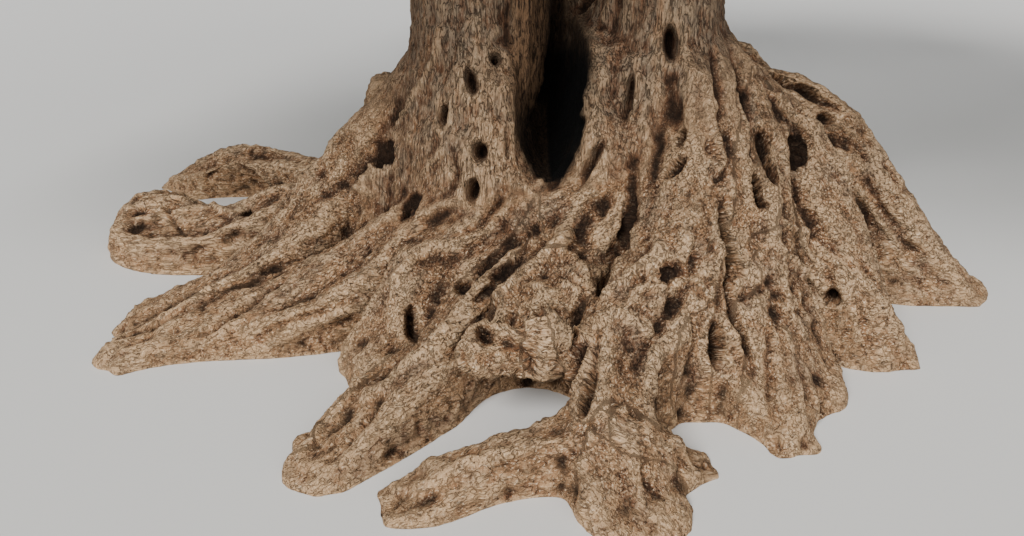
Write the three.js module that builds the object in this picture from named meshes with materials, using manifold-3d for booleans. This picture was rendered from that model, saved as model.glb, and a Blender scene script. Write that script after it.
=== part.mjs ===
// An old olive tree: a flared and hollow trunk of two stems, boughs, and masses of foliage.
// Millimetres, +Z up. The origin is on the flat cut at ground level, between the two stems.
// Headings are in degrees, counterclockwise seen from above, from +X. The hollow opens towards -Y.
import * as THREE from "three";
import { mergeVertices } from "three/addons/utils/BufferGeometryUtils.js";
import Module from "manifold-3d";

const wasm = await Module();
wasm.setup();

// Driving dimensions
const GAP = 0.3; // between a limb and what it grows from
const GROWN = 0.5; // a limb is cut by its neighbour grown this much
const FLOOR = -60; // roots and stems start here and are cut off at ground level
const STEM_SIDES = 11;
const FLARE_SIDES = 20;
const SMALL_LUMP = 250; // a burl or hole under this half size has fewer faces
const TREE_WIDE = 9000; // more than the tree's spread and height, like the next
const TREE_HIGH = 6000;
const BOUGH_SIDES = 6;
const BOUGH_STEPS = 5;
const BARK = new THREE.MeshStandardMaterial({ color: 0x75665a, roughness: 0.95, metalness: 0 });
const LEAF = new THREE.MeshStandardMaterial({ color: 0x6f7a4c, roughness: 0.7, metalness: 0 });

// The flared base between the roots, as radius and height from the ground up to its dome.
const FLARE = [[850, FLOOR], [840, 0], [740, 230], [655, 480], [575, 720], [465, 930], [300, 1060], [0, 1100]];
const FLARE_DEPTH = 0.93;

// The stems, each as stations of [x, y, z, half width, half depth]. The thin one is the wall behind the hollow.
const STEMS = {
  left: [
    [-270, 20, FLOOR, 420, 480],
    [-310, 30, 500, 350, 450],
    [-345, 30, 900, 255, 425],
    [-360, 45, 1200, 215, 375],
    [-310, 60, 1600, 275, 330],
    [-380, 90, 1950, 265, 285],
    [-540, 130, 2300, 210, 230],
  ],
  right: [
    [290, -10, FLOOR, 430, 500],
    [305, -10, 500, 365, 460],
    [325, -10, 900, 280, 430],
    [330, -5, 1200, 235, 380],
    [280, -20, 1600, 290, 335],
    [350, -60, 1950, 265, 290],
    [530, -110, 2350, 210, 225],
  ],
  back: [
    [-40, 230, FLOOR, 330, 260],
    [-80, 265, 900, 250, 150],
    [-90, 270, 1350, 220, 145],
    [-60, 200, 1650, 180, 150],
  ],
};

// The roots that show from the hollow's side, each as stations of [x, y, height of its crest, half width].
const ROOTS = {
  arched: [
    [-600, 200, 700, 170],
    [-1020, 500, 400, 110],
    [-1250, 720, 330, 80],
    [-1500, 930, 300, 80],
    [-1740, 1060, 260, 85],
    [-1930, 1160, 140, 75],
    [-2060, 1250, 40, 55],
  ],
  knuckle: [
    [-560, 140, 850, 190],
    [-950, 240, 470, 165],
    [-1240, 230, 310, 140],
    [-1480, 230, 230, 135],
    [-1680, 300, 220, 160],
    [-1830, 410, 215, 165],
    [-1930, 480, 120, 130],
  ],
  shoulder: [
    [-470, 40, 1040, 180],
    [-660, 60, 840, 180],
    [-800, 60, 700, 170],
    [-930, 0, 560, 160],
    [-1070, -170, 400, 150],
    [-1270, -300, 250, 130],
    [-1480, -390, 140, 110],
    [-1650, -430, 60, 75],
  ],
  apron: [
    [-430, -150, 860, 170],
    [-530, -340, 560, 160],
    [-720, -360, 380, 150],
    [-970, -420, 260, 130],
    [-1220, -500, 180, 115],
    [-1450, -590, 110, 95],
    [-1640, -650, 45, 65],
  ],
  lobe: [
    [-290, -330, 800, 150],
    [-350, -490, 540, 140],
    [-480, -570, 430, 130],
    [-580, -690, 310, 130],
    [-650, -790, 170, 110],
  ],
  diagonal: [
    [330, -280, 840, 150],
    [110, -520, 620, 130],
    [-30, -610, 510, 110],
    [-230, -720, 390, 105],
    [-380, -870, 300, 100],
    [-510, -1030, 210, 105],
    [-650, -1190, 130, 105],
    [-790, -1300, 55, 80],
  ],
  inner_toe: [
    [-480, -980, 200, 90],
    [-640, -1090, 130, 80],
    [-770, -1170, 60, 60],
  ],
  overhang: [
    [0, -560, 500, 120],
    [-60, -760, 470, 150],
    [-110, -900, 430, 170],
    [-130, -980, 330, 160],
  ],
  front: [
    [400, -200, 1150, 160],
    [430, -420, 1000, 150],
    [370, -650, 770, 130],
    [260, -840, 580, 120],
    [150, -990, 450, 105],
    [90, -1110, 360, 95],
    [80, -1270, 270, 105],
    [130, -1400, 170, 125],
    [180, -1480, 70, 110],
  ],
  front_branch: [
    [60, -1270, 240, 100],
    [-120, -1310, 180, 80],
    [-280, -1360, 140, 72],
    [-400, -1410, 100, 70],
    [-500, -1440, 50, 60],
  ],
  front_toe: [
    [120, -1280, 240, 100],
    [240, -1280, 140, 80],
    [310, -1270, 50, 60],
  ],
  plates: [
    [380, -600, 620, 120],
    [390, -800, 480, 130],
    [410, -930, 330, 110],
  ],
  ridge: [
    [470, -150, 1130, 150],
    [510, -380, 950, 120],
    [530, -590, 760, 95],
    [520, -730, 510, 85],
    [480, -870, 350, 80],
    [530, -930, 170, 75],
  ],
  apron_front: [
    [560, -560, 700, 120],
    [580, -760, 460, 115],
    [610, -930, 270, 105],
    [635, -1070, 140, 85],
    [655, -1150, 50, 60],
  ],
  apron_middle: [
    [560, -120, 1100, 140],
    [640, -300, 940, 125],
    [640, -500, 780, 115],
    [660, -690, 560, 110],
    [740, -830, 320, 105],
    [830, -910, 110, 80],
  ],
  apron_side: [
    [580, -40, 1060, 150],
    [790, -200, 900, 135],
    [900, -420, 700, 120],
    [990, -560, 490, 110],
    [1090, -640, 270, 95],
    [1190, -630, 70, 65],
  ],
  shoulder_right: [
    [540, 40, 1080, 170],
    [740, 60, 950, 160],
    [920, 70, 860, 150],
    [1100, 60, 780, 140],
    [1240, 10, 660, 135],
    [1370, -90, 440, 130],
    [1540, -120, 210, 110],
    [1690, -110, 60, 80],
  ],
  shoulder_back: [
    [580, 160, 1040, 170],
    [880, 270, 850, 155],
    [1130, 340, 600, 145],
    [1350, 390, 330, 125],
    [1540, 400, 90, 90],
  ],
};

// A root's cross-section, as shares of its half width: at the ground, at its shoulders and on its crest.
const ROOT_SHARES = { ground: 1.25, shoulder: 0.95, crest: 0.4 };
const ROOT_ROUND = 0.8; // how far the shoulders lie below the crest, as a share of the half width

// The roots at the back run straight out, from one heading round to another, and vary by turns.
const BACK_ROOTS = {
  count: 6,
  steps: 5,
  first: 38,
  last: 132,
  near: 350,
  reach: 1560,
  crest: 820,
  wide: 215,
  narrow: 110,
  varyHeading: 7,
  varyReach: 120,
};

// Burls that stand out of the trunk, as [x, y, z, half width, half depth, half height].
const BURLS = [
  [-1840, 430, 70, 190, 170, 165],
  [-690, 430, 700, 105, 100, 115],
  [300, 620, 420, 210, 190, 200],
];

// The hollow between the stems, and the largest holes, in the same form.
const HOLLOWS = [
  [-52, -270, 900, 138, 420, 330],
  [-58, -190, 1200, 120, 400, 360],
  [-40, -600, 730, 95, 160, 120],
  [-145, -1060, 30, 190, 230, 240],
  [-1620, 830, 30, 360, 190, 190],
  [120, 300, 1330, 30, 260, 150],
  [180, -470, 925, 50, 80, 100],
  [-380, 420, 820, 80, 160, 130],
];

// The boughs. A first bough grows from the height `fork` on a stem, a second from the share `fork` of another's length.
// `foliage` is the mass at its tip: heading, distance from the origin's axis, height, radius and half height.
const BOUGHS = {
  top_left: { from: "left", fork: 2300, foot: 195, tip: 68, foliage: [158, 1010, 4950, 1180, 930] },
  west: { from: "left", fork: 2030, foot: 165, tip: 60, foliage: [178, 2600, 3550, 1250, 930] },
  north_west: { from: "left", fork: 2100, foot: 155, tip: 60, foliage: [128, 2500, 3850, 1200, 930] },
  top_right: { from: "right", fork: 2350, foot: 195, tip: 66, foliage: [-6, 1080, 5050, 1150, 950] },
  east: { from: "right", fork: 2100, foot: 165, tip: 60, foliage: [0, 2700, 3580, 1250, 930] },
  south_east: { from: "right", fork: 2030, foot: 150, tip: 56, foliage: [-48, 2560, 3550, 1180, 920] },
  south_west: { from: "west", fork: 0.4, foot: 95, tip: 48, foliage: [-134, 2550, 3400, 1200, 900] },
  low_west: { from: "west", fork: 0.7, foot: 68, tip: 38, foliage: [-164, 3180, 2650, 800, 680] },
  north: { from: "north_west", fork: 0.35, foot: 95, tip: 48, foliage: [86, 2400, 3750, 1200, 930] },
  front: { from: "top_left", fork: 0.3, foot: 95, tip: 48, foliage: [-95, 2150, 3950, 1150, 900] },
  top_back: { from: "top_left", fork: 0.5, foot: 88, tip: 45, foliage: [98, 1350, 4800, 1080, 900] },
  north_east: { from: "east", fork: 0.35, foot: 95, tip: 48, foliage: [40, 2650, 3800, 1200, 930] },
  low_east: { from: "south_east", fork: 0.62, foot: 72, tip: 40, foliage: [-26, 3150, 2800, 820, 700] },
  top_front: { from: "top_right", fork: 0.45, foot: 86, tip: 45, foliage: [-78, 1380, 4850, 1080, 880] },
  crest: { from: "top_right", fork: 0.62, foot: 78, tip: 44, foliage: [62, 480, 5500, 950, 720] },
};

const BOUGH_END = 0.7; // how far from its mass's centre a bough ends, as a share of the mass's radius
const BOUGH_RISE = 0.32; // how its bend depends on its rise
const BOUGH_SAG = 0.6;
const BOUGH_HUMP = 200; // the bend of a bough that ends below its fork
const BOUGH_SWAY = 0.045; // as a share of its length
const BOUGH_TAPER = 0.8; // under 1, a bough thins faster near its foot

// Twigs and sprays in a mass of foliage. A spray is drawn as one large leaf.
const LIMBS = 4;
const TWIGS = 2;
// The leader, as shares: its bend from the bough's tip and its end from the mass's centre, then its half widths.
const LEADER = { bend: 0.22, end: 0.25, lap: 0.15, foot: 0.85, middle: 0.75, tip: 0.45 };
// Limbs and twigs, as shares: where they start and end, how much each varies, and their half widths.
const LIMB = { start: 0.15, varyStart: 0.8, end: 0.42, varyEnd: 0.1, foot: 0.42, tip: 0.22 };
const TWIG = { start: 0.45, varyStart: 0.35, end: 0.5, varyEnd: 0.12, foot: 0.25, tip: 0.15, lean: 0.8 };
const END_SPRAY = [1, 0]; // the share along its twig, and the lean off it
const SIDE_SPRAY = [0.6, 0.9];
const SPRAY_LENGTHS = [880, 740, 600, 460]; // the first that keeps to the mass's own space is used
const SPRAY_WIDE = 0.44; // as a share of the spray's length, like the next
const SPRAY_THICK = 0.05;
const SPRAY_WIDEST = 0.45; // how far along it is widest
const SPRAY_SUNK = 40;
const SPACE_GAP = 0.04; // between two masses, as a share of a mass's radius
const LIMB_GAP = 40; // between foliage and a bough

const radians = THREE.MathUtils.degToRad;
const lerp = THREE.MathUtils.lerp;
const UP = new THREE.Vector3(0, 0, 1);
const vec = (x, y, z) => new THREE.Vector3(x, y, z);
const around = (heading, distance, z) =>
  vec(distance * Math.cos(radians(heading)), distance * Math.sin(radians(heading)), z);

// The same numbers between 0 and 1 for the same seed.
function seededNumbers(seed) {
  let state = seed;
  const next = () => {
    state = (state * 1664525 + 1013904223) % 4294967296;
    return state / 4294967296;
  };
  for (let i = 0; i < 8; i++) next();
  return next;
}

// Solids

function solidOf(points, faces) {
  const numbers = new Float32Array(points.flatMap((p) => [p.x, p.y, p.z]));
  return new wasm.Manifold(new wasm.Mesh({ numProp: 3, vertProperties: numbers, triVerts: new Uint32Array(faces) }));
}

function solidOfGeometry(geometry) {
  geometry.deleteAttribute("normal");
  geometry.deleteAttribute("uv");
  const merged = mergeVertices(geometry, 1e-3);
  return new wasm.Manifold(
    new wasm.Mesh({
      numProp: 3,
      vertProperties: merged.attributes.position.array,
      triVerts: new Uint32Array(merged.index.array),
    }),
  );
}

// A closed skin over rings of points that turn counterclockwise about the way they run.
function skin(rings) {
  const sides = rings[0].length;
  const faces = [];
  for (let r = 0; r + 1 < rings.length; r++)
    for (let s = 0; s < sides; s++) {
      const a = r * sides + s;
      const b = r * sides + ((s + 1) % sides);
      faces.push(a, b, b + sides, a, b + sides, a + sides);
    }
  const last = (rings.length - 1) * sides;
  for (let s = 1; s + 1 < sides; s++) faces.push(0, s + 1, s, last, last + s, last + s + 1);
  return solidOf(rings.flat(), faces);
}

// A ring round a station of a limb. `across` is roughly the way that its width is measured from.
function ring(station, across, sides, grown = 0) {
  const wide = vec(0, 0, 0).crossVectors(across, station.along).normalize();
  const deep = vec(0, 0, 0).crossVectors(station.along, wide);
  return Array.from({ length: sides }, (_, s) => {
    const turn = (s / sides) * 2 * Math.PI;
    return station.at
      .clone()
      .addScaledVector(wide, Math.cos(turn) * (station.half + grown))
      .addScaledVector(deep, Math.sin(turn) * ((station.depth ?? station.half) + grown));
  });
}

// The world axis that is furthest from a limb's way, so that its rings never twist.
function steadyAxis(from, to) {
  const way = to.clone().sub(from);
  const [x, y, z] = [Math.abs(way.x), Math.abs(way.y), Math.abs(way.z)];
  if (y <= x && y <= z) return vec(0, 1, 0);
  return x <= z ? vec(1, 0, 0) : vec(0, 0, 1);
}

function tube(stations, sides, grown = 0) {
  const across = steadyAxis(stations[0].at, stations.at(-1).at);
  const rings = stations.map((station) => ring(station, across, sides, grown));
  rings[0].forEach((p) => p.addScaledVector(stations[0].along, -grown));
  rings.at(-1).forEach((p) => p.addScaledVector(stations.at(-1).along, grown));
  return skin(rings);
}

function ellipsoid([x, y, z, a, b, c]) {
  const detail = Math.max(a, b, c) > SMALL_LUMP ? 2 : 1;
  return solidOfGeometry(new THREE.IcosahedronGeometry(1, detail).scale(a, b, c).translate(x, y, z));
}

// The largest body of a solid, without the scraps or hollows that cutting or fusing leaves.
function mainBody(solid) {
  return solid.decompose().reduce((a, b) => (b.volume() > a.volume() ? b : a));
}

// Trunk

function stemStations(rows) {
  const line = new THREE.CatmullRomCurve3(rows.map(([x, y, z]) => vec(x, y, z)));
  return rows.map(([x, y, z, half, depth], i) => ({
    at: vec(x, y, z),
    along: line.getTangent(i / (rows.length - 1)),
    half,
    depth,
  }));
}

// A root's cross-section: a rounded crest on walls that widen down to the ground.
function rootRing([x, y, crest, half], outward) {
  const side = vec(0, 0, 0).crossVectors(UP, outward);
  const shoulder = crest - ROOT_ROUND * Math.min(half, crest * ROOT_ROUND);
  const outline = [[ROOT_SHARES.ground, FLOOR], [ROOT_SHARES.shoulder, shoulder], [ROOT_SHARES.crest, crest]];
  const mirrored = outline.toReversed().map(([out, z]) => [-out, z]);
  return [...outline, ...mirrored].map(([out, z]) => vec(x, y, z).addScaledVector(side, out * half));
}

function root(stations) {
  const last = stations.length - 1;
  const rings = stations.map((station, i) => {
    const [before, after] = [stations[Math.max(0, i - 1)], stations[Math.min(last, i + 1)]];
    return rootRing(station, vec(after[0] - before[0], after[1] - before[1], 0).normalize());
  });
  return skin(rings);
}

// Each root at the back bends and ends a little differently. Its crest sinks fast, then levels out.
function backRoot(index) {
  const { count, steps, first, last, near, reach, crest, wide, narrow, varyHeading, varyReach } = BACK_ROOTS;
  const heading = lerp(first, last, index / (count - 1));
  const vary = Math.cos(2.4 * index);
  const stations = Array.from({ length: steps + 1 }, (_, step) => {
    const t = step / steps;
    const at = around(heading + varyHeading * vary * t, lerp(near, reach + varyReach * vary, t), 0);
    return [at.x, at.y, lerp(crest, narrow * 0.6, 1 - (1 - t) ** 1.5), lerp(wide, narrow, t ** 0.7)];
  });
  return root(stations);
}

function flare() {
  const profile = [[0, FLOOR], ...FLARE].map(([r, z]) => new THREE.Vector2(r, z));
  const geometry = new THREE.LatheGeometry(profile, FLARE_SIDES).rotateX(Math.PI / 2).scale(1, FLARE_DEPTH, 1);
  return solidOfGeometry(geometry);
}

const stemTubes = Object.fromEntries(
  Object.entries(STEMS).map(([name, rows]) => [name, stemStations(rows)]),
);

function trunk() {
  const wood = wasm.Manifold.union([
    flare(),
    ...Object.values(stemTubes).map((stations) => tube(stations, STEM_SIDES)),
    ...Object.values(ROOTS).map(root),
    ...Array.from({ length: BACK_ROOTS.count }, (_, index) => backRoot(index)),
    ...BURLS.map(ellipsoid),
  ]);
  const block = new THREE.BoxGeometry(TREE_WIDE, TREE_WIDE, TREE_HIGH).translate(0, 0, TREE_HIGH / 2);
  const aboveGround = solidOfGeometry(block);
  const hollows = wasm.Manifold.union(HOLLOWS.map(ellipsoid));
  return mainBody(wood.intersect(aboveGround).subtract(hollows));
}

// Boughs

// The mass of foliage at a bough's tip: the ellipsoid that it keeps to.
function foliageSpace([heading, distance, height, radius, halfHeight]) {
  return { centre: around(heading, distance, height), radius, halfHeight };
}

// Where a bough grows from: a point on its stem's or parent's line, and the way it sets out.
function forkPoint(name) {
  const { from, fork } = BOUGHS[name];
  if (BOUGHS[from]) return boughLine(from)(fork);
  const rows = STEMS[from];
  const upper = rows.findIndex((row) => row[2] >= fork);
  const [below, above] = [rows[upper - 1], rows[upper]];
  const share = (fork - below[2]) / (above[2] - below[2]);
  return vec(...[0, 1, 2].map((axis) => lerp(below[axis], above[axis], share)));
}

// A bough bends up from its fork to the foot of its foliage, with a slight sway.
function boughLine(name) {
  const bough = BOUGHS[name];
  const start = forkPoint(name);
  const { centre, radius, halfHeight } = foliageSpace(bough.foliage);
  const back = start.clone().sub(centre).normalize().multiply(vec(radius, radius, halfHeight));
  const end = centre.clone().addScaledVector(back, BOUGH_END);
  const rise = (end.z - start.z) * BOUGH_RISE;
  const middle = start.clone().lerp(end, 0.5).addScaledVector(UP, rise < 0 ? BOUGH_HUMP : -rise * BOUGH_SAG);
  const curve = new THREE.QuadraticBezierCurve3(start, middle, end);
  const side = vec(0, 0, 0).crossVectors(UP, end.clone().sub(start)).normalize();
  const sway = start.distanceTo(end) * BOUGH_SWAY;
  const phase = Object.keys(BOUGHS).indexOf(name);
  return (t) =>
    curve.getPoint(t).addScaledVector(side, sway * Math.sin(Math.PI * t) * Math.sin(2 * Math.PI * t + phase));
}

function boughStations(name, steps = BOUGH_STEPS) {
  const { from, foot, tip } = BOUGHS[name];
  const line = boughLine(name);
  const first = from in STEMS && name.startsWith("top") ? 0.001 : 0;
  return Array.from({ length: steps + 1 }, (_, step) => {
    const t = step / steps;
    return {
      at: step ? line(t) : line(first),
      along: line(Math.min(1, t + 0.01)).sub(line(Math.max(0, t - 0.01))).normalize(),
      half: lerp(foot, tip, t ** BOUGH_TAPER),
    };
  });
}

function boughSolids() {
  const done = Object.values(stemTubes).map((stations) => tube(stations, STEM_SIDES, GROWN));
  const solids = {};
  for (const name of Object.keys(BOUGHS)) {
    const stations = boughStations(name);
    solids[name] = mainBody(tube(stations, BOUGH_SIDES).subtract(wasm.Manifold.union(done)));
    done.push(tube(stations, BOUGH_SIDES, GROWN));
  }
  return solids;
}

// Foliage

const spaces = Object.fromEntries(Object.entries(BOUGHS).map(([name, b]) => [name, foliageSpace(b.foliage)]));
const limbSamples = Object.keys(BOUGHS).flatMap((name) => boughStations(name, 30));

function depthIn({ centre, radius, halfHeight }, p) {
  return Math.hypot((p.x - centre.x) / radius, (p.y - centre.y) / radius, (p.z - centre.z) / halfHeight);
}

function inOwnSpace(name, p) {
  const own = depthIn(spaces[name], p);
  return (
    own <= 1 &&
    Object.keys(spaces).every((other) => other === name || depthIn(spaces[other], p) > own + SPACE_GAP) &&
    limbSamples.every(({ at, half }) => at.distanceTo(p) > half + LIMB_GAP)
  );
}

// Ways spread evenly over a sphere, turned by a spin.
function spreadWays(count, spin) {
  return Array.from({ length: count }, (_, i) => {
    const z = 1 - (2 * i + 1) / count;
    const turn = i * Math.PI * (3 - Math.sqrt(5)) + spin;
    const flat = Math.sqrt(1 - z * z);
    return vec(flat * Math.cos(turn), flat * Math.sin(turn), z);
  });
}

// A point of a mass, from the way out of its centre and the share of its radius.
function inMass({ centre, radius, halfHeight }, way, share) {
  return centre.clone().addScaledVector(way.clone().multiply(vec(radius, radius, halfHeight)), share);
}

function twigTube(from, to, start, end) {
  const along = to.clone().sub(from).normalize();
  return tube([{ at: from, along, half: start }, { at: to, along, half: end }], 3);
}

// The corners of a flat pointed blade that starts at `root` and is rolled about its own way.
function bladePoints(root, way, roll, long) {
  const flat = vec(0, 0, 0).crossVectors(Math.abs(way.z) > 0.9 ? vec(1, 0, 0) : UP, way).normalize();
  flat.applyAxisAngle(way, roll);
  const normal = vec(0, 0, 0).crossVectors(way, flat);
  const middle = root.clone().addScaledVector(way, long * SPRAY_WIDEST);
  const corner = (direction, size) => middle.clone().addScaledVector(direction, (size * long) / 2);
  return [
    root,
    corner(flat, SPRAY_WIDE),
    corner(normal, SPRAY_THICK),
    corner(flat, -SPRAY_WIDE),
    corner(normal, -SPRAY_THICK),
    root.clone().addScaledVector(way, long),
  ];
}

function bladeSolid(points) {
  const faces = [];
  for (let s = 0; s < 4; s++) {
    const [a, b] = [1 + s, 1 + ((s + 1) % 4)];
    faces.push(0, b, a, 5, a, b);
  }
  return solidOf(points, faces);
}

// Two ways square to a third.
function squareTo(way) {
  const across = vec(0, 0, 0).crossVectors(Math.abs(way.z) > 0.8 ? vec(1, 0, 0) : UP, way).normalize();
  return [across, vec(0, 0, 0).crossVectors(way, across)];
}

// A way bent off another by `lean`, towards an angle round it.
function bentWay(way, lean, angle) {
  const [across, over] = squareTo(way);
  return way
    .clone()
    .addScaledVector(across, lean * Math.cos(angle))
    .addScaledVector(over, lean * Math.sin(angle))
    .normalize();
}

function twigSprays(from, to, angle, sprays, inside) {
  const out = to.clone().sub(from).normalize();
  return sprays.flatMap(([share, lean], i) => {
    const root = from.clone().lerp(to, share).addScaledVector(out, -SPRAY_SUNK * share);
    const way = bentWay(out, lean, angle);
    const fitted = SPRAY_LENGTHS.map((long) => bladePoints(root, way, angle + 2 * i, long)).find((points) =>
      inside(...points.slice(1)),
    );
    return fitted ? [bladeSolid(fitted)] : [];
  });
}

// A mass of foliage: a leader from the bough's tip, limbs spread evenly from it, and twigs on each limb.
function foliage(name) {
  const space = spaces[name];
  const random = seededNumbers(700 + 53 * Object.keys(BOUGHS).indexOf(name));
  const inside = (...points) => points.every((p) => inOwnSpace(name, p));
  const tip = boughStations(name).at(-1);
  const foot = tip.at.clone().addScaledVector(tip.along, GAP);
  const knee = foot.clone().addScaledVector(tip.along, LEADER.bend * space.radius);
  const hub = space.centre.clone().lerp(knee, LEADER.end);
  const thick = tip.half * LEADER.foot;
  const middle = thick * LEADER.middle;
  const pieces = [
    tube([{ at: foot, along: tip.along, half: thick }, { at: knee, along: tip.along, half: middle }], 4),
    twigTube(knee.clone().lerp(foot, LEADER.lap), hub, middle, thick * LEADER.tip),
  ];
  for (const way of spreadWays(LIMBS, random() * 2 * Math.PI)) {
    const start = knee.clone().lerp(hub, LIMB.start + LIMB.varyStart * random());
    const end = inMass(space, way, LIMB.end + LIMB.varyEnd * random());
    const turn = random() * 2 * Math.PI;
    if (!inside(end)) continue;
    pieces.push(twigTube(start, end, thick * LIMB.foot, thick * LIMB.tip));
    pieces.push(...twigSprays(start, end, turn + 1.5, [END_SPRAY], inside));
    for (let twig = 0; twig < TWIGS; twig++) {
      const angle = turn + (twig * 2 * Math.PI) / TWIGS;
      const fork = start.clone().lerp(end, TWIG.start + TWIG.varyStart * random());
      const twigEnd = inMass(space, bentWay(way, TWIG.lean, angle), TWIG.end + TWIG.varyEnd * random());
      if (!inside(twigEnd)) continue;
      pieces.push(twigTube(fork, twigEnd, thick * TWIG.foot, thick * TWIG.tip));
      pieces.push(...twigSprays(fork, twigEnd, angle + 2, [END_SPRAY, SIDE_SPRAY], inside));
    }
  }
  return mainBody(wasm.Manifold.union(pieces));
}

// The tree

function meshOf(name, solid, material) {
  const { vertProperties, triVerts } = solid.getMesh();
  const geometry = new THREE.BufferGeometry()
    .setAttribute("position", new THREE.BufferAttribute(vertProperties, 3))
    .setIndex(new THREE.BufferAttribute(triVerts, 1));
  geometry.computeVertexNormals();
  const mesh = new THREE.Mesh(geometry, material);
  mesh.name = name;
  return mesh;
}

const tree = new THREE.Group();
tree.add(meshOf("trunk", trunk(), BARK));
for (const [name, solid] of Object.entries(boughSolids())) tree.add(meshOf(`bough_${name}`, solid, BARK));
for (const name of Object.keys(BOUGHS)) tree.add(meshOf(`foliage_${name}`, foliage(name), LEAF));

export default tree;
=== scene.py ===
# %% [markdown]
# # An old olive tree
#
# A very old olive: a hollow trunk of two fused stems, a wide flare of surface roots, and an open crown.
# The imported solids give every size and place. Around them this lesson grows what the eye sees: a skin of
# bark with real folds and pits, tapering boughs, thin twigs and nearly 200,000 leaves.
# Lengths are in metres, +Z is up, and the hollow opens towards -Y, which is where the camera stands.

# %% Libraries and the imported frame
import math

import bpy
import numpy as np
import openvdb
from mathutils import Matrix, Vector


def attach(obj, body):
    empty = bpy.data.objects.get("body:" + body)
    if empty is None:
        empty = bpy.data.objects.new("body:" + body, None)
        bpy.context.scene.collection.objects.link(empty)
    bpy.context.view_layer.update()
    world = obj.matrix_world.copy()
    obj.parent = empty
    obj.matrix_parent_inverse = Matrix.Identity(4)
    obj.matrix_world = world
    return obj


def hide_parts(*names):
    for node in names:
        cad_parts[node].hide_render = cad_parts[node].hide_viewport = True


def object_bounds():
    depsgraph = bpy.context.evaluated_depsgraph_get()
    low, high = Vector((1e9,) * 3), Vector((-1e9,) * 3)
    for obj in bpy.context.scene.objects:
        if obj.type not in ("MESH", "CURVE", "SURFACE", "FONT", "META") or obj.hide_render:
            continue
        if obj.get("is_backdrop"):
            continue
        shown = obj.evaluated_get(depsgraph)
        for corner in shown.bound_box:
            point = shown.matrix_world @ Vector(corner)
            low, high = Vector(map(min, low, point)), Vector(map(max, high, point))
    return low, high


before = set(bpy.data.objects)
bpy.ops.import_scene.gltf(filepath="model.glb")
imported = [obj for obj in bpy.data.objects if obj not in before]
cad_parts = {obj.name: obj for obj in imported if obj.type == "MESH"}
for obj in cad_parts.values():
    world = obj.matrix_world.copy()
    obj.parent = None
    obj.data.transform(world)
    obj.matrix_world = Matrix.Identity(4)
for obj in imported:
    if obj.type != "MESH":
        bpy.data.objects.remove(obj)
CAD_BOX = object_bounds()
print("solids:", len(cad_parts), "box:", CAD_BOX)

# %% [markdown]
# ## The camera
#
# The picture looks down at the roots from a usual eye height, 1.62 m, a little left of the trunk.
# A camera that is tilted, and not shifted, keeps the trunk's sides leaning in as they do in the picture.
# The focal length is a mild wide angle, read from how fast the trunk narrows towards the top of the frame.

# %% Camera
EYE = Vector((-0.20, -3.35, 1.62))
LOOK_DOWN = math.radians(25)
FOCAL_LENGTH = 30.6
SENSOR_WIDTH = 36.0

camera_data = bpy.data.cameras.new("eye")
camera_data.lens = FOCAL_LENGTH
camera_data.sensor_width = SENSOR_WIDTH
camera_data.clip_end = 100
camera = bpy.data.objects.new("eye", camera_data)
camera.location = EYE
camera.rotation_euler = (math.pi / 2 - LOOK_DOWN, 0, 0)
bpy.context.scene.collection.objects.link(camera)
bpy.context.scene.camera = camera
print("camera at", tuple(EYE), "looking down", round(math.degrees(LOOK_DOWN)), "degrees")

# %% [markdown]
# ## Noise for bark
#
# Wood is never smooth, so most of its forms here end in noise. Blender's own noise functions take one point
# at a time, which is slow for a mesh of a few hundred thousand points. The same idea is quick in numpy:
# every corner of a lattice gets a random slope, and a point blends the slopes of the eight corners round it.

# %% Gradient noise
def corner_numbers(cells, seed):
    """Random whole numbers, the same for the same lattice corner."""
    n = cells[0] * np.uint32(0x8DA6B343)
    n = n + cells[1] * np.uint32(0xD8163841) + cells[2] * np.uint32(0xCB1AB31F)
    n = n + np.uint32((seed * 0x9E3779B1) & 0xFFFFFFFF)
    n = (n ^ (n >> np.uint32(15))) * np.uint32(0x85EBCA6B)
    n = (n ^ (n >> np.uint32(13))) * np.uint32(0xC2B2AE35)
    return n ^ (n >> np.uint32(16))


SHARE_BITS = 10
SHARE_MOST = 1023
NOISE_GAIN = 1.4
# Further than any distance that is measured.
FAR = 1e9


def share_of(numbers, axis):
    """A share from 0 to 1 for one axis, read from ten bits of each number."""
    bits = (numbers >> np.uint32(SHARE_BITS * axis)) & np.uint32(SHARE_MOST)
    return bits.astype(np.float32) / SHARE_MOST


def noise(points, size, seed):
    """Smooth noise from about -1 to 1. `size` is the width of its lumps, or three widths."""
    scaled = (points / np.asarray(size, dtype=np.float32)).T.astype(np.float32)
    low = np.floor(scaled)
    part = scaled - low
    cells = low.astype(np.int64).astype(np.uint32)
    ease = part * part * part * (part * (part * 6 - 15) + 10)
    total = np.zeros(len(points), dtype=np.float32)
    for corner in np.ndindex(2, 2, 2):
        shift = np.array(corner, dtype=np.uint32)[:, None]
        n = corner_numbers(cells + shift, seed)
        weight = np.ones(len(points), dtype=np.float32)
        slope = np.zeros(len(points), dtype=np.float32)
        for axis in range(3):
            slope += (2 * share_of(n, axis) - 1) * (part[axis] - corner[axis])
            weight *= ease[axis] if corner[axis] else 1 - ease[axis]
        total += weight * slope
    return total * NOISE_GAIN


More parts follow.
